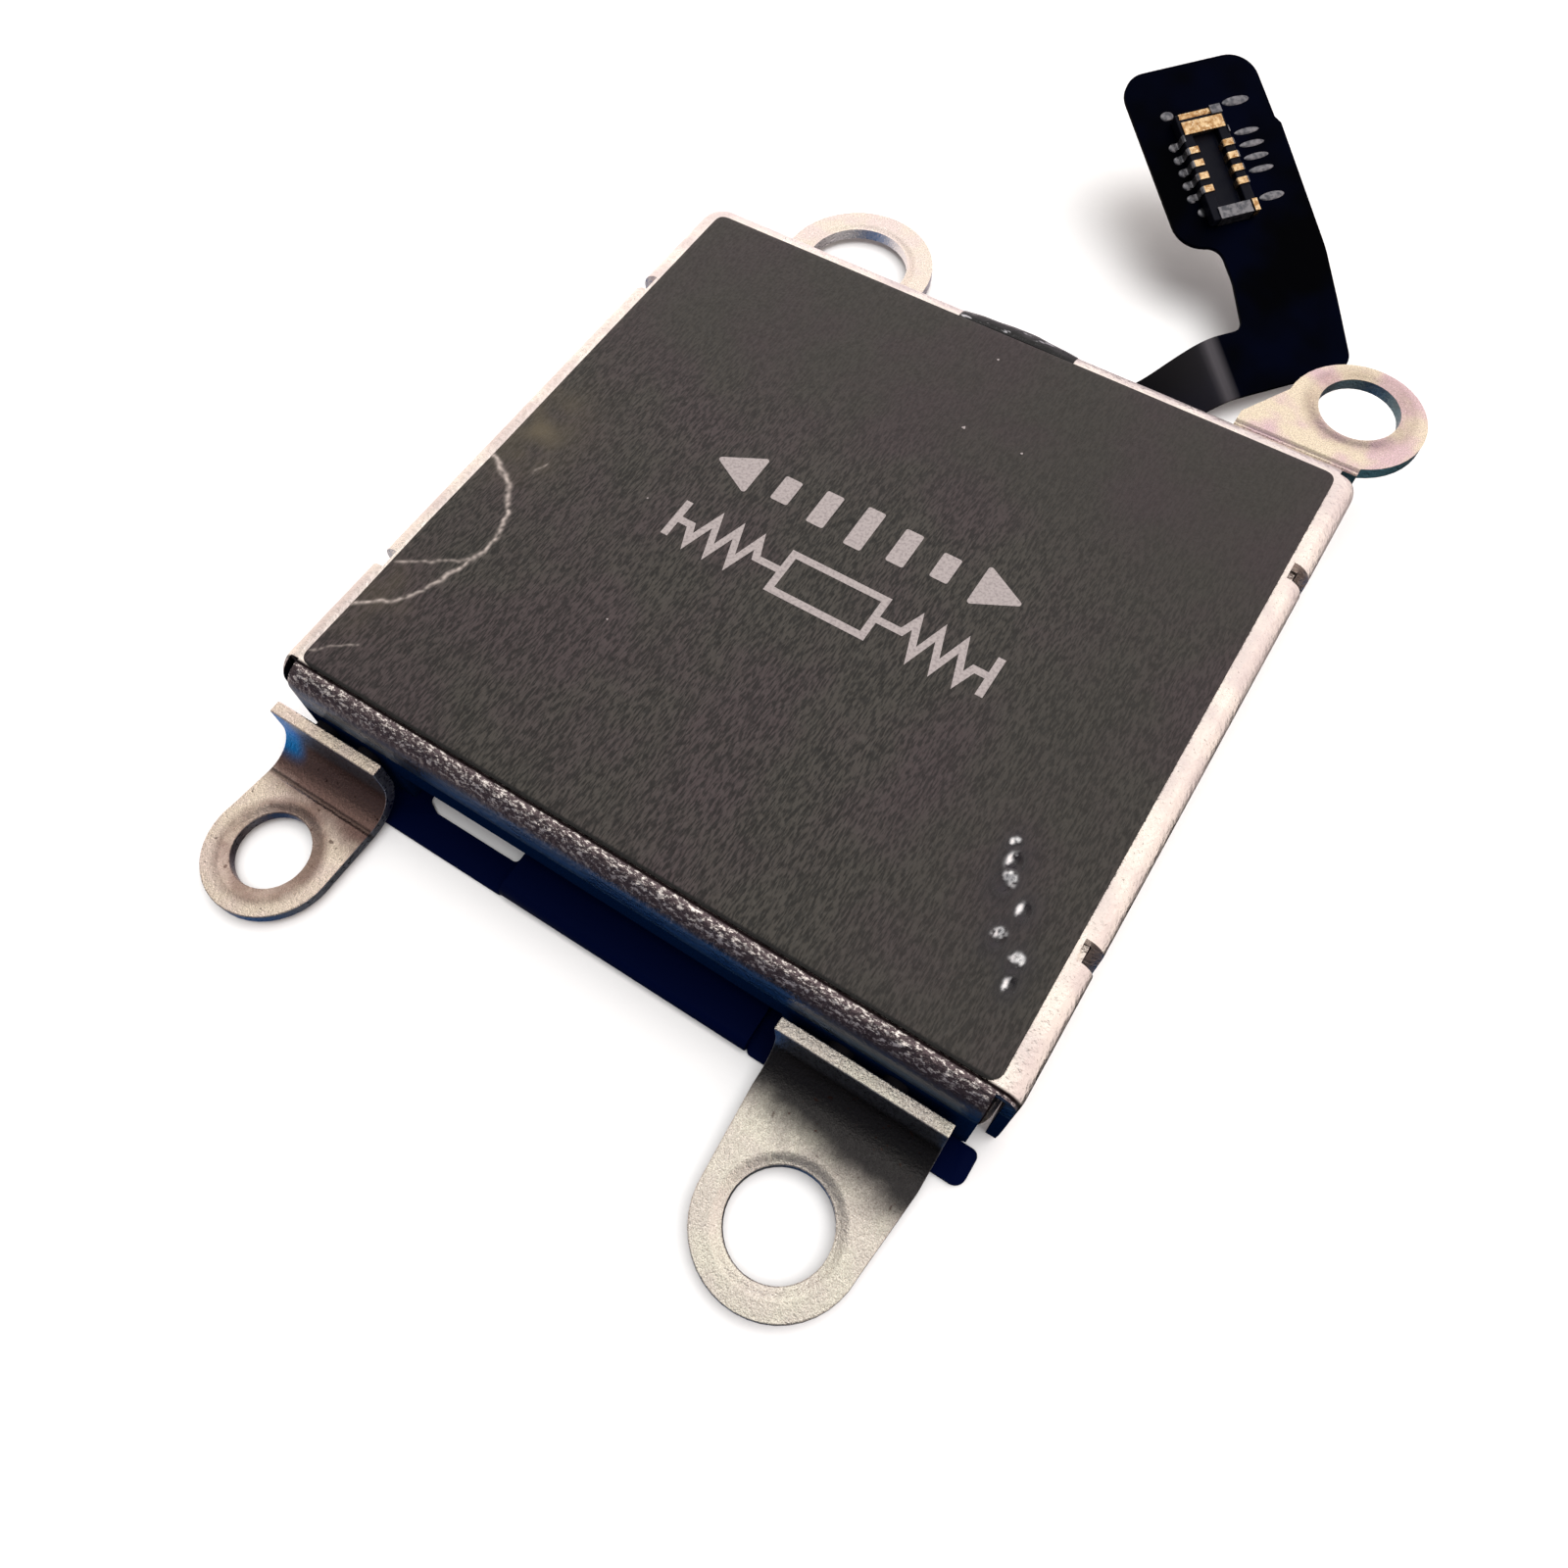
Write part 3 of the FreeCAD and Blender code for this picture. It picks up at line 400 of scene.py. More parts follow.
def gold_plate():
    look = Look("gold_plate", (0.9, 0.62, 0.28), 0.25, metallic=1.0)
    patches, burnish = look.noise(0.12, 3), look.noise(0.05, 3, rough=0.7)
    plated = look.blend(look.ramp(patches, 0.35, 0.65), (0.78, 0.57, 0.33), (0.42, 0.23, 0.09))
    look.set("Base Color", look.blend(look.ramp(burnish, 0.55, 0.7), plated, (0.95, 0.85, 0.65)))
    look.set("Roughness", look.ramp(patches, 0.3, 0.7, 0.2, 0.38))
    look.bumps((burnish, 0.008))
    return look.material


def tin_plate():
    look = Look("tin_plate", (0.3, 0.3, 0.32), 0.38, metallic=1.0)
    patches = look.noise(0.12, 3)
    dull = look.ramp(patches, 0.35, 0.65)
    look.set("Base Color", look.blend(dull, (0.22, 0.22, 0.24), (0.09, 0.095, 0.11)))
    look.bumps((look.noise(0.08, 2), 0.005))
    return look.material


def chip_ceramic():
    """Brown ceramic with tinned ends. The two chips lie along Y, one behind the other."""
    look = Look("chip_ceramic", (0.34, 0.22, 0.14), 0.5)
    low, high = span("capacitors")
    length = 0.6
    centre = (high.y - low.y - length) / 2
    offset = look.math("SUBTRACT", look.math("ABSOLUTE", look.along("Y")), centre)
    end = look.ramp(look.math("ABSOLUTE", offset), 0.27 * length, 0.3 * length)
    look.set("Base Color", look.blend(end, (0.36, 0.23, 0.15), (0.6, 0.6, 0.6)))
    look.set("Metallic", end)
    look.bumps((look.noise(0.05, 3), 0.003))
    return look.material


LOOKS = {
    "case_steel": case_steel(),
    "lug_steel": lug_steel(),
    "label_film": label_skin(),
    "edge_tape": edge_tape(),
    "flex_film": flex_film(),
    "stiffener_plate": plain("stiffener_plate", (0.02, 0.019, 0.016), (0.5, 2, 0.42, 0.6), (0.06, 3), 0.004),
    "connector_plastic": plain("connector_plastic", (0.002, 0.0025, 0.006), (0.2, 3, 0.34, 0.5),
                               (0.03, 3), 0.002, specular=0.08),
    "gold_plate": gold_plate(),
    "tin_plate": tin_plate(),
    "coil_wire": mottled("coil_wire", ((0.72, 0.3, 0.1), (0.48, 0.17, 0.06)), (0.5, 3), 0.3,
                         (0.05, 2), 0.002, metallic=0.8, coat=0.4),
    "heavy_alloy": mottled("heavy_alloy", ((0.34, 0.34, 0.35), (0.24, 0.24, 0.25)), (0.25, 4), 0.42,
                           (0.05, 3), 0.003, stretch=(6, 1, 1), metallic=1.0),
    "magnet_nickel": plain("magnet_nickel", (0.66, 0.63, 0.58), (0.4, 3, 0.12, 0.26),
                           (0.15, 2), 0.003, metallic=1.0),
    "yoke_steel": mottled("yoke_steel", ((0.54, 0.54, 0.55), (0.42, 0.42, 0.45)), (0.6, 3), 0.34,
                          (0.04, 3), 0.003, stretch=(1, 8, 1), metallic=1.0),
    "spring_steel": plain("spring_steel", (0.6, 0.59, 0.57), (0.3, 3, 0.22, 0.36),
                          (0.04, 2), 0.002, stretch=(8, 8, 1), metallic=1.0),
    "stop_rubber": plain("stop_rubber", (0.03, 0.03, 0.032), (0.2, 3, 0.65, 0.85), (0.05, 3), 0.006),
    "chip_plastic": plain("chip_plastic", (0.015, 0.015, 0.016), (0.1, 3, 0.42, 0.6), (0.03, 3), 0.003),
    "chip_ceramic": chip_ceramic(),
}
NODE_LOOKS = {
    "front_left_lug": lug_steel("front_left_steel", tones=((0.9, 0.79, 0.66), (0.86, 0.73, 0.66)),
                                painted_shade=(0.15, 0.09, 0.08), bend=(-6.9, -8.75, 0.75), screw="front_left_screw",
                                rim_shade_and_pits=0.75, crease=-8.82, reflects_blue_left_of=-7.75),
    "front_right_lug": lug_steel("front_right_steel", tones=((0.86, 0.84, 0.74), (0.82, 0.77, 0.71)),
                                 painted_shade=(0.02, 0.02, 0.023), bend=(5.5, -8.85, 0.95),
                                 screw="front_right_screw"),
    "rear_left_lug": lug_steel("rear_left_steel", tones=((0.92, 0.84, 0.74), (0.9, 0.79, 0.76)),
                               upright_reflection=(0.85, 0.82, 0.85), screw="rear_left_screw"),
    "rear_right_lug": lug_steel("rear_right_steel", tones=((0.9, 0.8, 0.62), (0.78, 0.58, 0.62)),
                                upright_reflection=(0.08, 0.2, 0.26), screw="rear_right_screw",
                                upright_reflection_above=span("rear_right_lug")[1].z - LUG_SHEET,
                                rim_shade_and_pits=0.35, crease=7.9),
    # Painted shade: the weld spots are near black and barely glossy, as they sit in the shade between flange and
    # case.
    "lug_weld_spots": mottled("weld_in_shade", ((0.002, 0.003, 0.006), (0.01, 0.008, 0.008)), (0.1, 3), 0.7,
                              (0.06, 3), 0.008, specular=0.03),
}
SLOT_OF = {part["node"]: part["material_slot"] for part in frame["record"]["subparts"]}


# CAD nodes: each keeps its mesh and gets its material, and those in EDGE_ROUNDING get rounded edges ----------

EDGE_ROUNDING = {
    "top_cover": 0.035,
    "base_tray": 0.03,
    "front_left_lug": 0.03,
    "front_right_lug": 0.03,
    "rear_left_lug": 0.03,
    "rear_right_lug": 0.03,
    "head_stiffener": 0.01,
    "connector_housing": 0.03,
    "mass_block": 0.06,
    "magnet_1": 0.08,
    "magnet_2": 0.08,
    "magnet_3": 0.08,
    "magnet_4": 0.08,
    "yoke_plate": 0.03,
    "case_weld_plates": 0.02,
    "mass_weld_plates": 0.02,
    "end_stop_pads": 0.05,
    "hall_sensor": 0.03,
    "capacitors": 0.03,
    "coil_solder_joints": 0.05,
}


def round_edges(piece, width):
    """Modifiers that join the mesh's faces, drop the lines across flat ones and round its sharp edges."""
    weld = piece.modifiers.new("Weld", "WELD")
    weld.merge_threshold = 0.0005 * MM
    flat = piece.modifiers.new("Flat", "DECIMATE")
    flat.decimate_type = "DISSOLVE"
    flat.angle_limit = math.radians(0.3)
    bevel = piece.modifiers.new("Edges", "BEVEL")
    bevel.width = width * MM
    bevel.segments = 2
    bevel.limit_method = "ANGLE"
    bevel.angle_limit = math.radians(38)
    bevel.miter_outer = "MITER_ARC"
    bevel.harden_normals = True
    normals = piece.modifiers.new("Normals", "WEIGHTED_NORMAL")
    normals.keep_sharp = True


def finish_cad_node(name, piece):
    mesh = piece.data
    custom = mesh.attributes.get("custom_normal")
    if custom:
        mesh.attributes.remove(custom)
    mesh.polygons.foreach_set("use_smooth", [True] * len(mesh.polygons))
    mesh.materials.clear()
    mesh.materials.append(NODE_LOOKS.get(name) or LOOKS[SLOT_OF[name]])
    if name in EDGE_ROUNDING:
        round_edges(piece, EDGE_ROUNDING[name])


for node_name, node_object in frame["nodes"].items():
    finish_cad_node(node_name, node_object)


# Mesh pieces --------------------------------------------------------------------------------------

def make_mesh(name, points, faces, look, sharp=35):
    """A mesh object from points in millimetres. look is a slot's name or a material."""
    mesh = bpy.data.meshes.new(name)
    mesh.from_pydata([Vector(p) * MM for p in points], [], faces)
    mesh.validate()
    bm = bmesh.new()
    bm.from_mesh(mesh)
    bmesh.ops.recalc_face_normals(bm, faces=bm.faces)
    bm.to_mesh(mesh)
    bm.free()
    mesh.polygons.foreach_set("use_smooth", [True] * len(mesh.polygons))
    mesh.set_sharp_from_angle(angle=math.radians(sharp))
    mesh.materials.append(LOOKS.get(look, look))
    piece = bpy.data.objects.new(name, mesh)
    bpy.context.scene.collection.objects.link(piece)
    return piece


def settle(piece, body, slot, *replaced):
    """Says which body the piece rides on and which CAD nodes it stands for. slot is not used."""
    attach(piece, body)
    if replaced:
        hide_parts(*replaced)
    return piece


def rounded(corners, steps=6):
    """A flat outline from corners (x, y, radius), each turned into an arc."""
    outline = []
    count = len(corners)
    for i, (x, y, radius) in enumerate(corners):
        here = Vector((x, y))
        before = (Vector(corners[i - 1][:2]) - here).normalized()
        after = (Vector(corners[(i + 1) % count][:2]) - here).normalized()
        half = before.angle(after) / 2
        if radius <= 0 or half > math.radians(89):
            outline.append(here)
            continue
        start = here + before * (radius / math.tan(half))
        end = here + after * (radius / math.tan(half))
        centre = here + (before + after).normalized() * (radius / math.sin(half))
        first, last = start - centre, end - centre
        turn = first.angle_signed(last)
        for step in range(steps + 1):
            outline.append(centre + Matrix.Rotation(-turn * step / steps, 2) @ first)
    return outline


def sweep(sections, closed=False):
    """Points and faces of a skin through sections of equal point count. Ends are capped unless closed."""
    width = len(sections[0])
    points = [p for section in sections for p in section]
    faces = []
    rows = len(sections)
    for row in range(rows if closed else rows - 1):
        below, above = row * width, (row + 1) % rows * width
        for i in range(width):
            j = (i + 1) % width
            faces.append((below + i, below + j, above + j, above + i))
    if not closed:
        faces.append(tuple(range(width)))
        faces.append(tuple(range((rows - 1) * width, rows * width)))
    return points, faces


def join_pieces(made):
    """Points and faces of several skins as one."""
    points, faces = [], []
    for more_points, more_faces in made:
        faces += [tuple(i + len(points) for i in face) for face in more_faces]
        points += more_points
    return points, faces


def hermite(start, end, start_pull, end_pull, t):
    """A point on the smooth curve that leaves start along start_pull and reaches end along end_pull."""
    return (
        start * (2 * t ** 3 - 3 * t ** 2 + 1)
        + start_pull * (t ** 3 - 2 * t ** 2 + t)
        + end * (-2 * t ** 3 + 3 * t ** 2)
        + end_pull * (t ** 3 - t ** 2)
    )


# Tail's own axes: U along the short arm, V along the long arm to the head's far end, N out of the connector
TAIL_N = Vector(MOUNTS["board_connector"]["axis"]).normalized()
TAIL_U = Vector((0, 0, 1)).cross(Vector(JOINTS["tail_bend"]["axis"])).normalized()
TAIL_V = TAIL_N.cross(TAIL_U)
FLEX = 0.11
HOUSING_TALL = 0.27
HOUSING_CENTRE = -0.23
TAIL_ORIGIN = (Vector(MOUNTS["board_connector"]["pos_m"]) / MM
               - TAIL_N * (FLEX / 2 + HOUSING_TALL) - TAIL_U * HOUSING_CENTRE)


def on_tail(u, v, n=0.0):
    return TAIL_ORIGIN + TAIL_U * u + TAIL_V * v + TAIL_N * n


LEVEL = FLEX / 2    # middle of the flex where it lies flat under the case
RIBBON = (1.3, 2.95)    # its two edges on the way from the band to the rear
BAND_REAR = -5.1
FOLD = (-2.5, 3.3)    # ends of the band's straight front edge, which folds back over the tray
FOLD_FRONT = -8.19
RAMP_FOOT = Vector((2.79, 9.61, LEVEL))
ARM_START = on_tail(-1.6, -4.92)


# Label ---------------------------------------------------------------------------------------------

LABEL_LOW, LABEL_HIGH = span("label_film")
LABEL_TOP = LABEL_HIGH.z
LABEL_CORNER = 0.25
CREASES = [
    # points (x, y), width, strength
    ([(-7.5, -1.3), (-6.75, -1.7), (-6.25, -2.35), (-6.05, -3.0), (-6.1, -3.65)], 0.045, 1.0),
    ([(-6.1, -3.65), (-6.6, -3.95), (-7.4, -4.5)], 0.03, 0.55),
    ([(-6.1, -3.65), (-6.5, -4.75), (-6.75, -5.15), (-7.05, -5.35), (-7.5, -5.7)], 0.04, 0.95),
    ([(-7.45, -6.9), (-6.75, -6.35)], 0.025, 0.5),
    ([(-6.45, -1.25), (-6.35, -0.9)], 0.025, 0.5),
]
DENTS = [
    # x, y, radius, depth
    (5.8, -3.4, 0.1, 0.03),
    (5.95, -3.7, 0.14, 0.05),
    (6.0, -4.1, 0.15, 0.06),
    (6.5, -4.4, 0.12, 0.04),
    (6.35, -5.05, 0.13, 0.05),
    (6.8, -5.3, 0.14, 0.035),
    (6.9, -5.65, 0.11, 0.03),
]
SPECKS = [
    # x, y, half size
    (0.21, 6.45, 0.035),
    (0.5, 4.4, 0.05),
    (1.85, 4.4, 0.035),
    (-4.05, -0.55, 0.025),
    (-3.0, -3.35, 0.025),
]


def to_segment(point, first, second):
    """Distance from a point to the line between two others."""
    along = second - first
    share = max(0.0, min(1.0, (point - first).dot(along) / along.length_squared))
    return (point - first - along * share).length


def crease_at(x, y):
    """How strongly a point is creased, from 0 to 1."""
    if x > -5.7:
        return 0.0
    wobble = Vector((smooth_noise(Vector((x * 4, y * 4, 11))), smooth_noise(Vector((x * 4, y * 4, 17)))))
    here, strongest = Vector((x, y)) + 0.07 * wobble, 0.0
    for route, width, strength in CREASES:
        near = min(to_segment(here, Vector(a), Vector(b)) for a, b in zip(route, route[1:]))
        if near < 3 * width:
            beads = 0.65 + 0.9 * smooth_noise(Vector((x * 11, y * 11, 3)))
            strongest = max(strongest, strength * beads * math.exp(-((near / width) ** 2)))
    return min(1.0, max(0.0, strongest))


def dent_at(x, y):
    """What the pressed pits do to a point: its height, how much painted glint it has and how bruised the film is.
    """
    height = glint_share = bruise = 0.0
    if x > 5.0 and -6.5 < y < -2.6:
        for index, (cx, cy, radius, deep) in enumerate(DENTS):
            far = math.hypot(x - cx, (y - cy) * 0.7) / radius
            rim = math.exp(-(((far - 0.7) * 3.4) ** 2))
            # Painted glint: a ragged crescent on one side of the dent's rim.
            one_side = math.cos(math.atan2(y - cy, x - cx) - 2.2 - 1.1 * math.sin(2.4 * index))
            ragged = 1 + 1.4 * smooth_noise(Vector((x * 14, y * 14, 5)))
            height += deep * (0.6 * math.exp(-(((far - 1.2) * 2.0) ** 2)) - math.exp(-((far * 1.2) ** 2)))
            glint_share = max(glint_share, min(1.0, 1.6 * rim * max(0.0, one_side * ragged - 0.25)))
            bruise = max(bruise, math.exp(-((far / 2.2) ** 2)))
    return height, glint_share, bruise


def label_height(x, y):
    """Top of the film above the cover, in millimetres."""
    wave = 0.006 * smooth_noise(Vector((x * 0.35, y * 0.35, 0)))
    edge = min(LABEL_HIGH.x - abs(x), LABEL_HIGH.y - abs(y))
    roll = -0.02 * math.exp(-edge / 0.06)
    blister = 0.0
    if x < -5.5:
        share = max(0.0, 1 - math.hypot((x + 7.5) / 1.6, (y + 3.4) / 2.2))
        blister = 0.03 * share
    return LABEL_TOP + wave + roll + blister + dent_at(x, y)[0] + 0.015 * crease_at(x, y)


def grid_places(low, high, fine, coarse, *busy):
    """Places from low to high, fine apart inside the busy stretches and coarse apart elsewhere."""
    places = [low]
    while places[-1] < high - 1e-6:
        here = places[-1]
        step = fine if any(start <= here < end for start, end in busy) else coarse
        places.append(min(high, here + step))
    return places


def make_label():
    """The film as a fine grid over the cover, with its creases, dents, blister and rolled edge."""
    across = grid_places(LABEL_LOW.x, LABEL_HIGH.x, 0.025, 0.11, (-7.5, -5.8), (5.5, 7.1), (7.3, 7.5))
    along = grid_places(LABEL_LOW.y, LABEL_HIGH.y, 0.03, 0.11, (-7.19, -0.8), (7.0, 7.19))
    points, marks = [], {"crease": [], "grease": [], "dent_glint": [], "bruise": []}
    for y in along:
        cut = max(0.0, abs(y) - (LABEL_HIGH.y - LABEL_CORNER))
        inset = LABEL_CORNER - math.sqrt(max(0.0, LABEL_CORNER ** 2 - cut ** 2))
        for x in across:
            place = x * (LABEL_HIGH.x - inset) / LABEL_HIGH.x
            points.append((place, y, label_height(place, y)))
            glint_share, bruise = dent_at(place, y)[1:]
            marks["crease"].append(crease_at(place, y))
            marks["dent_glint"].append(glint_share)
            marks["bruise"].append(0.85 * bruise)
            smear = math.exp(-math.hypot((place + 7.1) / 0.9, (y + 0.3) / 1.1) ** 2)
            smear += 0.6 * math.exp(-math.hypot((place + 7.2) / 0.6, (y + 5.3) / 0.8) ** 2)
            marks["grease"].append(smear * (0.6 + 0.8 * smooth_noise(Vector((place * 2, y * 2, 7)))))
    columns, rows = len(across), len(along)
    faces = [
        (r * columns + c, r * columns + c + 1, (r + 1) * columns + c + 1, (r + 1) * columns + c)
        for r in range(rows - 1) for c in range(columns - 1)
    ]
    rim = list(range(columns))
    rim += [r * columns + columns - 1 for r in range(1, rows)]
    rim += [(rows - 1) * columns + c for c in range(columns - 2, -1, -1)]
    rim += [r * columns for r in range(rows - 2, 0, -1)]
    below = len(points)
    points += [(points[i][0], points[i][1], LABEL_LOW.z) for i in rim]
    for values in marks.values():
        values += [0.0] * len(rim)
    count = len(rim)
    faces += [(rim[i], below + i, below + (i + 1) % count, rim[(i + 1) % count]) for i in range(count)]
    faces.append(tuple(range(below, below + count)))
    label = make_mesh("label_sheet", points, faces, "label_film", sharp=60)
    for name, values in marks.items():
        label.data.attributes.new(name, "FLOAT", "POINT").data.foreach_set("value", values)
    return settle(label, "case", "label_film", "label_film")


def plate_from_outline(outline, low, high):
    """Points and faces of a prism under an outline; low and high give a height at (x, y)."""
    count = len(outline)
    points = [(p[0], p[1], low(p[0], p[1])) for p in outline]
    points += [(p[0], p[1], high(p[0], p[1])) for p in outline]
    faces = [tuple(range(count)), tuple(range(count, 2 * count))]
    faces += [(i, (i + 1) % count, count + (i + 1) % count, count + i) for i in range(count)]
    return points, faces


def stroke(route, width):
    """Outline of a line of some width along a route, with mitred corners."""
    left, right = [], []
    for i, point in enumerate(route):
        here = Vector(point)
        before = (here - Vector(route[i - 1])).normalized() if i else None
        after = (Vector(route[i + 1]) - here).normalized() if i + 1 < len(route) else None
        along = ((before or after) + (after or before)).normalized()
        side = Vector((-along.y, along.x))
        reach = width / 2 / max(0.35, side.dot(Vector((-(after or before).y, (after or before).x))))
        left.append(here + side * reach)
        right.append(here - side * reach)
    return left + right[::-1]


def ink_shapes():
    """Generic mark: a bold two-way arrow of bars over a thin sketch of a mass between two springs."""
    bold_low, bold_high = 0.55, 1.6
    middle = (bold_low + bold_high) / 2
    shapes = []
    for side, tip in ((-1, -3.45), (1, 3.65)):
        shapes.append(rounded([
            (tip, middle, 0.06),
            (tip - side, bold_high, 0.06),
            (tip - side, bold_low, 0.06),
        ]))
    for index in range(5):
        x = 0.1 + (index - 2) * 0.92
        tall = (0.62, 0.84, 1.0, 0.84, 0.62)[index] * (bold_high - bold_low) / 2
        shapes.append(rounded([(x - 0.2, middle - tall, 0.05), (x + 0.2, middle - tall, 0.05),
                               (x + 0.2, middle + tall, 0.05), (x - 0.2, middle + tall, 0.05)]))
    line, low, high = 0.16, -1.12, -0.18
    centre, swing = (low + high) / 2, (high - low) / 2
    for side, end in ((-1, -3.25), (1, 3.85)):
        inner = 0.3 + side * 1.05
        shapes.append(stroke([(end, low), (end, high)], line))
        route = [(end, centre), (end - side * 0.35, centre)]
        for i in range(6):
            route.append((end - side * (0.5 + 0.25 * i), centre + (swing if i % 2 else -swing) * 0.8))
        route += [(end - side * 1.9, centre), (inner, centre)]
        shapes.append(stroke(route, line))
        shapes.append(stroke([(0.3, high), (inner, high), (inner, low), (0.3, low)], line))
    return shapes


def flecks():
    """Small chips of pale dust stuck to the film."""
    shapes = []
    for x, y, r in SPECKS:
        corners = [(x - r, y - r * 0.6), (x + r, y - r), (x + r * 0.5, y + r)]
        shapes.append(rounded([(*corner, r * 0.3) for corner in corners], steps=2))
    return shapes


def make_label_mark():
    """The mark and the dust, as thin plates that follow the film."""
    ink = 0.004

    def under(x, y):
        return label_height(x, y) - ink

    def over(x, y):
        return label_height(x, y) + ink

    plates = [plate_from_outline(shape, under, over) for shape in ink_shapes() + flecks()]
    return settle(make_mesh("label_mark", *join_pieces(plates), label_ink()), "case", "label_film")


# Tape on the rear edge ----------------------------------------------------------------------------

def make_tape():
    """Glossy black tape that lies tight on the rear shoulder at its ends and bulges crumpled in between."""
    low, high = span("rear_edge_tape")
    top, wall = LABEL_LOW.z, span("top_cover")[1].y
    shoulder = 0.4
    tight = [Vector((LABEL_HIGH.y + 0.03, top + 0.012))]
    for step in range(5):
        angle = math.pi / 2 * step / 4
        tight.append(Vector((wall - shoulder + (shoulder + 0.015) * math.sin(angle),
                             top - shoulder + (shoulder + 0.015) * math.cos(angle))))
    tight += [Vector((wall + 0.02, top - 0.6)), Vector((wall + 0.02, low.z))]
    loose = [
        Vector((LABEL_HIGH.y + 0.03, top + 0.02)),
        Vector((LABEL_HIGH.y + 0.12, top + 0.045)),
        Vector((wall - 0.22, top + 0.035)),
        Vector((wall - 0.08, top - 0.03)),
        Vector((wall + 0.04, top - 0.13)),
        Vector((wall + 0.12, top - 0.3)),
        Vector((wall + 0.1, top - 0.6)),
        Vector((wall + 0.05, low.z)),
    ]
    sheet = 0.03
    stations = 48
    sections = []
    for s in range(stations + 1):
        x = low.x + (high.x - low.x) * s / stations
        bulge = math.sin(math.pi * s / stations) ** 0.8
        outer = []
        for i, (near, far) in enumerate(zip(tight, loose)):
            crumple = 0.06 * smooth_noise(Vector((x * 2.0, i * 0.7, 2))) * bulge * min(1.0, i / 3)
            place = near.lerp(far, bulge)
            outer.append(Vector((x, place.x + crumple, place.y + crumple * 0.5)))
        inner = [p - Vector((0, sheet * 0.8, sheet * 0.5)) for p in outer]
        sections.append(outer + inner[::-1])
    tape = make_mesh("rear_tape", *sweep(sections), "edge_tape", sharp=70)
    smooth = tape.modifiers.new("Smooth", "SUBSURF")
    smooth.levels = smooth.render_levels = 1
    return settle(tape, "case", "edge_tape", "rear_edge_tape")


# Flex circuit --------------------------------------------------------------------------------------

def tail_outline():
    """Flat shape of the arm and head, from the end of the ramp round to where it started."""
    corners = [
        (-1.6, -5.72, 0),
        (1.3, -5.72, 0.45),
        (1.6, -3.96, 4.0),
        (1.8, -2.65, 3.0),
        (1.92, 0.8, 0.05),
        (1.82, 1.0, 0.05),
        (1.82, 2.92, 0.72),
        (-1.7, 2.92, 0.66),
        (-1.7, -1.85, 0.75),
        (-0.75, -1.9, 0.4),
        (-0.75, -2.9, 1.5),
        (-0.95, -4.12, 0.3),
        (-1.6, -4.12, 0),
    ]
    return rounded(corners, steps=10)


def band_outline():
    """Flat shape of the band under the front edge, with the fold's straight edge in the middle."""
    return rounded([
        (-6.2, -8.39, 0.25),
        (FOLD[0], -8.39, 0.12),
        (FOLD[0], FOLD_FRONT, 0),
        (FOLD[1], FOLD_FRONT, 0),
        (FOLD[1], -8.39, 0.12),
        (7.85, -8.39, 0.22),
        (7.85, -7.65, 0.15),
        (7.4, -7.65, 0.1),
        (7.4, BAND_REAR, 0),
        (RIBBON[1], BAND_REAR, 0),
        (RIBBON[0], BAND_REAR, 0),
        (-6.2, BAND_REAR, 0),
    ])


def slit_outline():
    return rounded([
        (-5.1, -7.5, 0.14),
        (-4.75, -7.68, 0.2),
        (-2.65, -7.68, 0.1),
        (-2.65, -7.1, 0.1),
        (-5.1, -7.1, 0.1),
    ])


RAMP_STEPS = 22


def ramp_highlight(share):
    """How much highlight is painted on the film at a share of the ramp: a little, growing all the way, and most
    near its end.
    """
    if not 0.1 < share < 1:
        return 0.0
    return 0.2 * share + 0.7 * math.exp(-((share - 0.88) / 0.06) ** 2)


def ribbon_stations():
    """Pairs of edge points of the ribbon: under the case, round the turn, up the ramp to the arm."""
    pairs = [tuple(Vector((x, y, LEVEL)) for x in RIBBON) for y in (BAND_REAR, 0, 6.5)]
    root = Vector((sum(RIBBON) / 2, 7.9, LEVEL))
    root_way, foot_way = Vector((0, 1, 0)), TAIL_U
    turn = 12
    for step in range(turn + 1):
        share = step / turn
        ease = share * share * (3 - 2 * share)
        centre = hermite(root, RAMP_FOOT, root_way * 1.8, foot_way * 1.8, share)
        way = (root_way * (1 - ease) + foot_way * ease).normalized()
        side = Vector((-way.y, way.x, 0)) * (0.825 - 0.025 * share)
        pairs.append((centre + side, centre - side))
    for step in range(1, RAMP_STEPS + 1):
        share = step / RAMP_STEPS
        ease = share * share * (3 - 2 * share)
        centre = hermite(RAMP_FOOT, ARM_START, foot_way * 2.0, foot_way * 2.3, share)
        flat_side = Vector((-foot_way.y, foot_way.x, 0))
        side = (flat_side * (1 - ease) + TAIL_V * ease).normalized() * 0.8
        pairs.append((centre + side, centre - side))
    return pairs


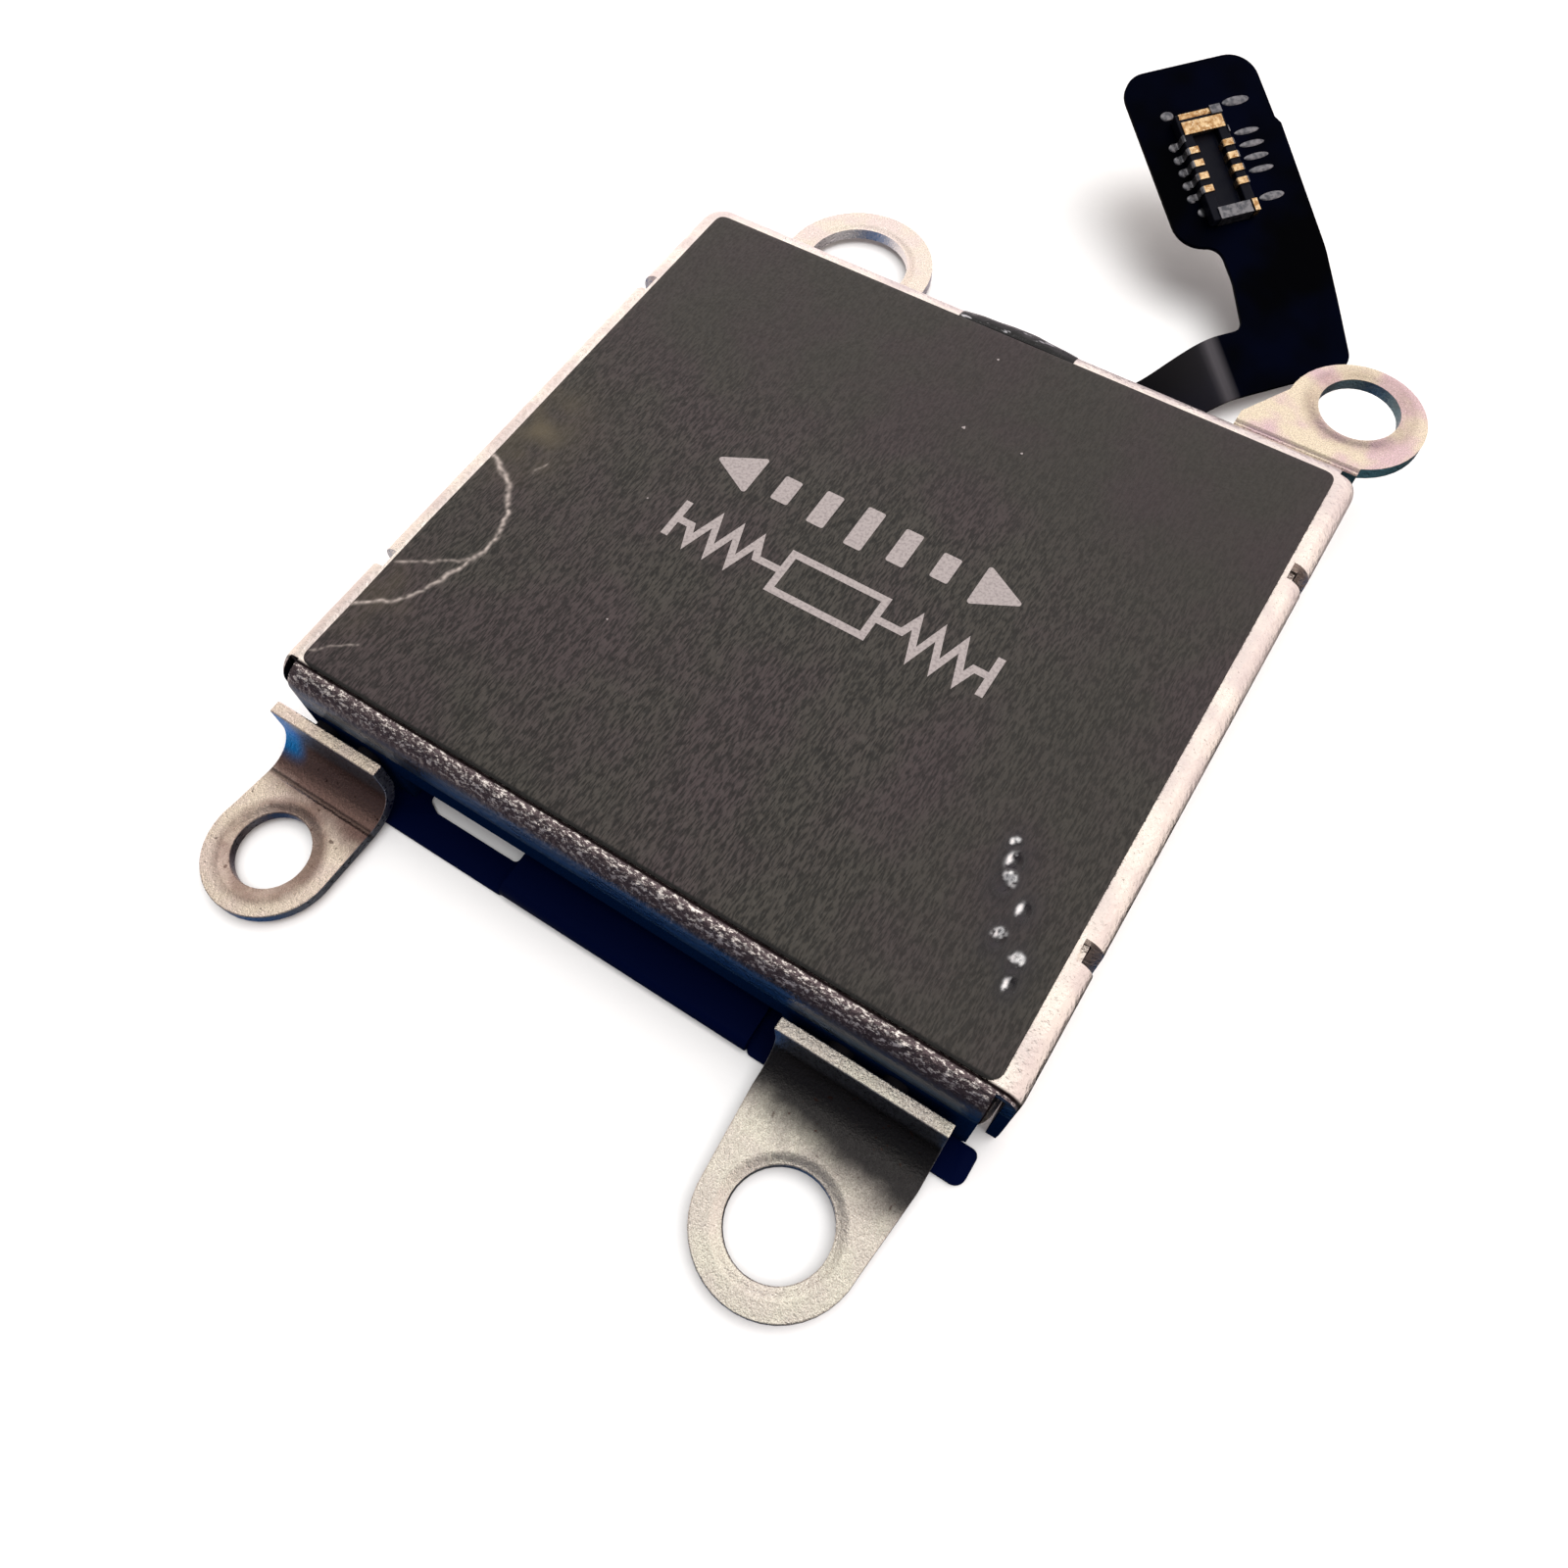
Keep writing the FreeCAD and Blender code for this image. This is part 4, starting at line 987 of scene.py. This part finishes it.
def make_flex_sheet():
    """One continuous sheet: band with its slit, fold into the case, run to the rear, ramp, arm and head."""
    bm = bmesh.new()
    bend_highlight = bm.verts.layers.float.new("bend_highlight")

    def loop(outline):
        verts = [bm.verts.new(Vector((p[0], p[1], LEVEL)) * MM) for p in outline]
        return verts, [bm.edges.new((verts[i], verts[(i + 1) % len(verts)])) for i in range(len(verts))]

    band, band_edges = loop(band_outline())
    slit_edges = loop(slit_outline())[1]
    bmesh.ops.triangle_fill(bm, use_beauty=True, use_dissolve=False, edges=band_edges + slit_edges)

    def band_vertex(x, y):
        return min(band, key=lambda v: (v.co / MM - Vector((x, y, LEVEL))).length)

    previous = tuple(band_vertex(x, BAND_REAR) for x in RIBBON)
    stations = ribbon_stations()[1:]
    for index, (left, right) in enumerate(stations):
        current = (bm.verts.new(left * MM), bm.verts.new(right * MM))
        for vertex in current:
            vertex[bend_highlight] = ramp_highlight(1 - (len(stations) - 1 - index) / RAMP_STEPS)
        bm.faces.new((previous[0], previous[1], current[1], current[0]))
        previous = current

    tail = tail_outline()
    first, last = previous[1], previous[0]
    verts = [first] + [bm.verts.new(on_tail(p[0], p[1]) * MM) for p in tail[1:-1]] + [last]
    bm.faces.new(verts)

    tray, fold_steps = 0.3, 12
    radius = (tray + FLEX) / 2 - LEVEL
    previous = tuple(band_vertex(x, FOLD_FRONT) for x in FOLD)
    rows = []
    for step in range(1, fold_steps + 1):
        angle = math.pi * step / fold_steps
        rows.append((FOLD_FRONT - radius * math.sin(angle), LEVEL + radius * (1 - math.cos(angle))))
    rows.append((-6.05, tray + LEVEL))
    for y, z in rows:
        current = tuple(bm.verts.new(Vector((x, y, z)) * MM) for x in FOLD)
        bm.faces.new((previous[0], previous[1], current[1], current[0]))
        previous = current

    bmesh.ops.recalc_face_normals(bm, faces=bm.faces)
    mesh = bpy.data.meshes.new("flex_sheet")
    bm.to_mesh(mesh)
    bm.free()
    mesh.polygons.foreach_set("use_smooth", [True] * len(mesh.polygons))
    mesh.materials.append(LOOKS["flex_film"])
    flex = bpy.data.objects.new("flex_sheet", mesh)
    bpy.context.scene.collection.objects.link(flex)
    thick = flex.modifiers.new("Thickness", "SOLIDIFY")
    thick.thickness = FLEX * MM
    thick.offset = 0
    bevel = flex.modifiers.new("Edges", "BEVEL")
    bevel.width = 0.012 * MM
    bevel.segments = 1
    bevel.limit_method = "ANGLE"
    bevel.angle_limit = math.radians(50)
    normals = flex.modifiers.new("Normals", "WEIGHTED_NORMAL")
    normals.keep_sharp = True
    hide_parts("flex_circuit", "flex_bend", "flex_tail")
    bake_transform(flex)
    return flex


# Board connector ------------------------------------------------------------------------------------

def bent_strip(route, width_from, width_to, sheet, place):
    """A strip of sheet along a route of (across, up) pairs, from width_from to width_to the other way."""
    outline = stroke(route, sheet)
    sections = [[place(p.x, w, p.y) for p in outline] for w in (width_from, width_to)]
    return sweep(sections)


def lapped_route(inner, outer, low, top, foot, sheet):
    """Up the inside of the wall, over its top and down outside to a foot, with rounded corners."""
    gap = sheet / 2
    corners = [
        (inner - gap, low, 0),
        (inner - gap, top + gap, 0.035),
        (outer + gap, top + gap, 0.05),
        (outer + gap * 1.5, FLEX / 2 + gap, 0.05),
        (foot, FLEX / 2 + gap, 0),
    ]
    return [tuple(p) for p in rounded(corners, steps=4)]


HOUSING_TOP = FLEX / 2 + HOUSING_TALL
PITCH = 0.35
CONTACT_ROWS = [0.1 + PITCH * row for row in (-2, -1, 0, 1, 2)]
WELL_HALF = 0.34
HOUSING_HALF = 0.6
POWER_ROUTE = [
    # v, height above the flex's middle
    (0.94, 0.2),
    (0.9, HOUSING_TOP + 0.017),
    (1.2, HOUSING_TOP + 0.02),
    (1.23, HOUSING_TOP - 0.03),
    (1.3, HOUSING_TOP - 0.035),
    (1.34, HOUSING_TOP + 0.018),
    (1.42, HOUSING_TOP + 0.01),
    (1.48, 0.12),
]
GROUND_ROUTE = [
    (-1.17, 0.2),
    (-1.15, HOUSING_TOP + 0.017),
    (-1.42, HOUSING_TOP + 0.017),
    (-1.44, 0.08),
]


def make_contacts():
    """Gold tips over the walls, and the dull legs and feet that run down from them to the flex.

    One more gold ear is at the right near corner, and a dull clip at the right far one.
    """
    tips, legs = [], []
    sheet, half = 0.035, 0.085
    for side in (-1, 1):
        def place(across, w, up):
            return on_tail(HOUSING_CENTRE + side * across, w, up)
        for row, v in enumerate(CONTACT_ROWS):
            route = lapped_route(WELL_HALF, HOUSING_HALF, 0.15, HOUSING_TOP, HOUSING_HALF + 0.13, sheet)
            split = next(i for i, p in enumerate(route) if p[0] > HOUSING_HALF - 0.06)
            if row < len(CONTACT_ROWS) - 1:
                tips.append(bent_strip(route[:split + 1], v - half, v + half, sheet, place))
            legs.append(bent_strip(route[split:], v - half, v + half, sheet, place))
    ear = [(-1.12, HOUSING_TOP + 0.017), (-1.42, HOUSING_TOP + 0.017), (-1.44, 0.15)]
    tips.append(bent_strip(ear, -0.065, 0.065, sheet, lambda along, w, up: on_tail(0.31 + w, along, up)))
    clip = [(1.24, HOUSING_TOP + 0.05), (1.46, HOUSING_TOP + 0.045), (1.51, 0.12)]
    legs.append(bent_strip(clip, -0.14, 0.14, 0.03, lambda along, w, up: on_tail(0.2 + w, along, up)))
    gold = make_mesh("contact_tips", *join_pieces(tips), "gold_plate")
    settle(gold, "flex_tail", "gold_plate", "connector_contacts")
    settle(make_mesh("contact_legs", *join_pieces(legs), "tin_plate"), "flex_tail", "tin_plate")


def make_end_bar(name, slot, node, route, half_width):
    """A wide strip over one end wall of the housing."""
    strip = bent_strip(route, -half_width, half_width, 0.035,
                       lambda along, w, up: on_tail(HOUSING_CENTRE + w, along, up))
    return settle(make_mesh(name, *strip, slot), "flex_tail", slot, node)


def dome(centre_u, centre_v, half_u, half_v, tall, rings=5, sides=20):
    """A low rounded blob of solder on the flex."""
    sections = []
    for ring in range(rings):
        angle = math.pi / 2 * ring / rings
        reach, up = math.cos(angle), math.sin(angle)
        sections.append([
            on_tail(centre_u + half_u * reach * math.cos(2 * math.pi * s / sides),
                    centre_v + half_v * reach * math.sin(2 * math.pi * s / sides),
                    FLEX / 2 + tall * up)
            for s in range(sides)
        ])
    return sweep(sections)


def make_pads():
    """Solder on the flex beside the housing: long blobs at the right and short ones at the left."""
    random.seed(4)
    places = [(0.99, v, 0.33, 0.085) for v in CONTACT_ROWS[1:]]
    places += [(-0.97, v, 0.14, 0.115) for v in CONTACT_ROWS]
    places += [
        (0.99, -1.0, 0.33, 0.11),
        (0.99, 1.65, 0.36, 0.12),
        (-0.83, -1.0, 0.15, 0.12),
        (-0.83, 1.65, 0.17, 0.13),
    ]
    tall, stray = 0.03, 0.02
    blobs = [dome(u + random.uniform(-stray, stray), v, *halves, tall) for u, v, *halves in places]
    pads = make_mesh("solder_fillets", *join_pieces(blobs), "tin_plate")
    return settle(pads, "flex_tail", "tin_plate", "solder_pads")


# Motor inside the case --------------------------------------------------------------------------------

def make_coil(node, name):
    """Racetrack coil whose skin shows its turns as ridges."""
    low, high = span(node)
    centre = (low + high) / 2
    half_x, half_y = (high.x - low.x) / 2, (high.y - low.y) / 2
    window_x, window_y = 0.75, 3.35
    tall = high.z - low.z
    turns, layers = 16, 5
    turn_dip, layer_dip = 0.02, 0.01
    over = [i / (turns * 4) for i in range(turns * 4)]
    down = [i / (layers * 4) for i in range(layers * 4)]

    def dip(share, ridges, deep):
        return deep * (1 - abs(math.sin(math.pi * share * ridges)))

    outline = [(share, tall / 2 - dip(share, turns, turn_dip)) for share in over]
    outline += [(1 - dip(share, layers, layer_dip), tall / 2 - tall * share) for share in down]
    outline += [(1 - share, -tall / 2 + dip(share, turns, turn_dip)) for share in over]
    outline += [(dip(share, layers, layer_dip), -tall / 2 + tall * share) for share in down]

    def racetrack(x, y, radius):
        return rounded([(x, -y, radius), (x, y, radius), (-x, y, radius), (-x, -y, radius)], steps=10)

    sections = []
    inner, outer = racetrack(window_x, window_y, 0.3), racetrack(half_x, half_y, half_x - window_x)
    for a, b in zip(inner, outer):
        sections.append([
            (centre.x + a.x + (b.x - a.x) * share, centre.y + a.y + (b.y - a.y) * share, centre.z + up)
            for share, up in outline
        ])
    coil = make_mesh(name, *sweep(sections, closed=True), "coil_wire", sharp=80)
    return settle(coil, "case", "coil_wire", node)


def make_leaf_spring(node, name):
    """Spring blade with rounded knees, held on the case wall at one end and on the mass at the other."""
    low, high = span(node)
    side = -1 if high.x < 0 else 1
    sheet, knee = 0.15, 4.6
    wall, face = (low.x, high.x) if side < 0 else (high.x, low.x)
    start, end = wall - side * sheet / 2, face + side * sheet / 2
    route = rounded([
        (start, -side * high.y, 0),
        (start, -side * knee, 0.9),
        (end, side * knee, 0.9),
        (end, side * high.y, 0),
    ], steps=8)
    outline = stroke([tuple(p) for p in route], sheet)
    centre = sum((Vector(p) for p in outline), Vector((0, 0))) / len(outline)
    edge, pinch = 0.03, 0.00024
    levels = [(low.z, pinch), (low.z + edge, 0), (high.z - edge, 0), (high.z, pinch)]
    sections = [[(p.x + (centre.x - p.x) * share, p.y, z) for p in outline] for z, share in levels]
    spring = make_mesh(name, *sweep(sections), "spring_steel")
    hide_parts(node)
    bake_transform(spring)
    return spring


make_label()
make_label_mark()
make_tape()
make_flex_sheet()
make_contacts()
make_end_bar("power_strip", "gold_plate", "connector_power_bar", POWER_ROUTE, 0.53)
make_end_bar("ground_strip", "tin_plate", "connector_ground_bar", GROUND_ROUTE, 0.42)
make_pads()
make_coil("left_coil", "left_winding")
make_coil("right_coil", "right_winding")
make_leaf_spring("left_leaf_spring", "left_spring_blade")
make_leaf_spring("right_leaf_spring", "right_spring_blade")


# Stage: floor, light and camera -------------------------------------------------------------------------

def make_floor():
    """A wide pale sheet just under the object, in metres."""
    half, level = 2.0, -0.00002
    mesh = bpy.data.meshes.new("floor")
    corners = [(-half, -half), (half, -half), (half, half), (-half, half)]
    mesh.from_pydata([(*corner, level) for corner in corners], [], [(0, 1, 2, 3)])
    mesh.materials.append(mottled("floor_paper", ((0.86, 0.86, 0.86), (0.84, 0.84, 0.845)), (60, 2), 0.8,
                                  (0.6, 4), 0.01, specular=0.2))
    floor = bpy.data.objects.new("floor", mesh)
    bpy.context.scene.collection.objects.link(floor)
    floor.visible_glossy = False


def softbox(name, place, target, width, height, radiance, color=(1, 1, 1)):
    """A rectangular light. radiance is how bright its face looks, so its power follows from its area."""
    light = bpy.data.lights.new(name, "AREA")
    light.shape = "RECTANGLE"
    light.size, light.size_y = width, height
    light.energy = radiance * math.pi * width * height
    light.color = color
    lamp = bpy.data.objects.new(name, light)
    bpy.context.scene.collection.objects.link(lamp)
    lamp.location = place
    lamp.rotation_euler = (Vector(target) - Vector(place)).to_track_quat("-Z", "Y").to_euler()
    return lamp


def make_world():
    """Soft room light, bright overhead and at both sides and dark low at the front. The backdrop is plain."""
    world = bpy.data.worlds.new("room")
    world.use_nodes = True
    tree = world.node_tree
    place = tree.nodes.new("ShaderNodeTexCoord").outputs["Generated"]
    total = None
    lobes = [
        # direction, start and end of its glow (cosine), colour
        ((0, 0, 1), -1.0, 1.0, (0.05, 0.055, 0.065)),
        ((-0.1, 0.5, 0.86), 0.55, 1.0, (0.95, 0.9, 0.84)),
        ((0.9, 0.3, 0.3), 0.45, 0.95, (1.15, 1.02, 0.96)),
        ((-0.92, 0.3, -0.2), 0.45, 0.95, (1.15, 1.02, 0.93)),
        ((-0.2, 0.95, -0.1), 0.5, 0.95, (0.7, 0.62, 0.66)),
        ((-0.3, -0.05, 0.95), 0.72, 1.0, (0.5, 0.48, 0.45)),
        ((-0.22, -0.6, -0.78), 0.84, 1.0, (0.05, 0.14, 0.32)),
        ((-0.8, -0.5, -0.35), 0.75, 1.0, (0.5, 0.47, 0.45)),
        ((0.8, -0.5, -0.35), 0.7, 1.0, (0.5, 0.47, 0.45)),
        ((-0.26, -0.87, 0.33), 0.7, 1.0, (0.16, 0.15, 0.17)),
    ]
    for direction, start, end, color in lobes:
        along = tree.nodes.new("ShaderNodeVectorMath")
        along.operation = "DOT_PRODUCT"
        along.inputs[1].default_value = Vector(direction).normalized()
        tree.links.new(place, along.inputs[0])
        glow = tree.nodes.new("ShaderNodeMapRange")
        glow.interpolation_type = "SMOOTHSTEP"
        glow.inputs["From Min"].default_value = start
        glow.inputs["From Max"].default_value = end
        tree.links.new(along.outputs["Value"], glow.inputs["Value"])
        tint = tree.nodes.new("ShaderNodeVectorMath")
        tint.operation = "SCALE"
        tint.inputs[0].default_value = color
        tree.links.new(glow.outputs["Result"], tint.inputs["Scale"])
        if total is None:
            total = tint.outputs["Vector"]
        else:
            both = tree.nodes.new("ShaderNodeVectorMath")
            tree.links.new(total, both.inputs[0])
            tree.links.new(tint.outputs["Vector"], both.inputs[1])
            total = both.outputs["Vector"]
    paper = tree.nodes.new("ShaderNodeMix")
    paper.data_type = "RGBA"
    tree.links.new(tree.nodes.new("ShaderNodeLightPath").outputs["Is Camera Ray"], paper.inputs["Factor"])
    tree.links.new(total, paper.inputs[MIX_COLOURS[0]])
    paper.inputs[MIX_COLOURS[1]].default_value = (0.93, 0.93, 0.93, 1)
    tree.links.new(paper.outputs[MIX_RESULT], tree.nodes["Background"].inputs["Color"])
    bpy.context.scene.world = world


def make_camera():
    """Standing over the front edge and looking down and back, rolled a little."""
    data = bpy.data.cameras.new("camera")
    data.sensor_width = 36
    data.lens = 27
    data.clip_start, data.clip_end = 0.0005, 10
    camera = bpy.data.objects.new("camera", data)
    bpy.context.scene.collection.objects.link(camera)
    camera.location = (0.007205, -0.01198, 0.021852)
    camera.rotation_euler = Euler([math.radians(a) for a in (26.077, 1.6, 32.712)])
    bpy.context.scene.camera = camera


make_floor()
make_world()
centre = (0, 0.002, 0.001)
sky = softbox("sky_light", (0.1, 0.02, 0.5), centre, 0.5, 0.5, 3.2)
sky.visible_glossy = False
softbox("glint_light", (-0.13, 0.17, 0.3), centre, 0.05, 0.05, 3.0)
make_camera()
bpy.context.scene.view_settings.view_transform = "Standard"
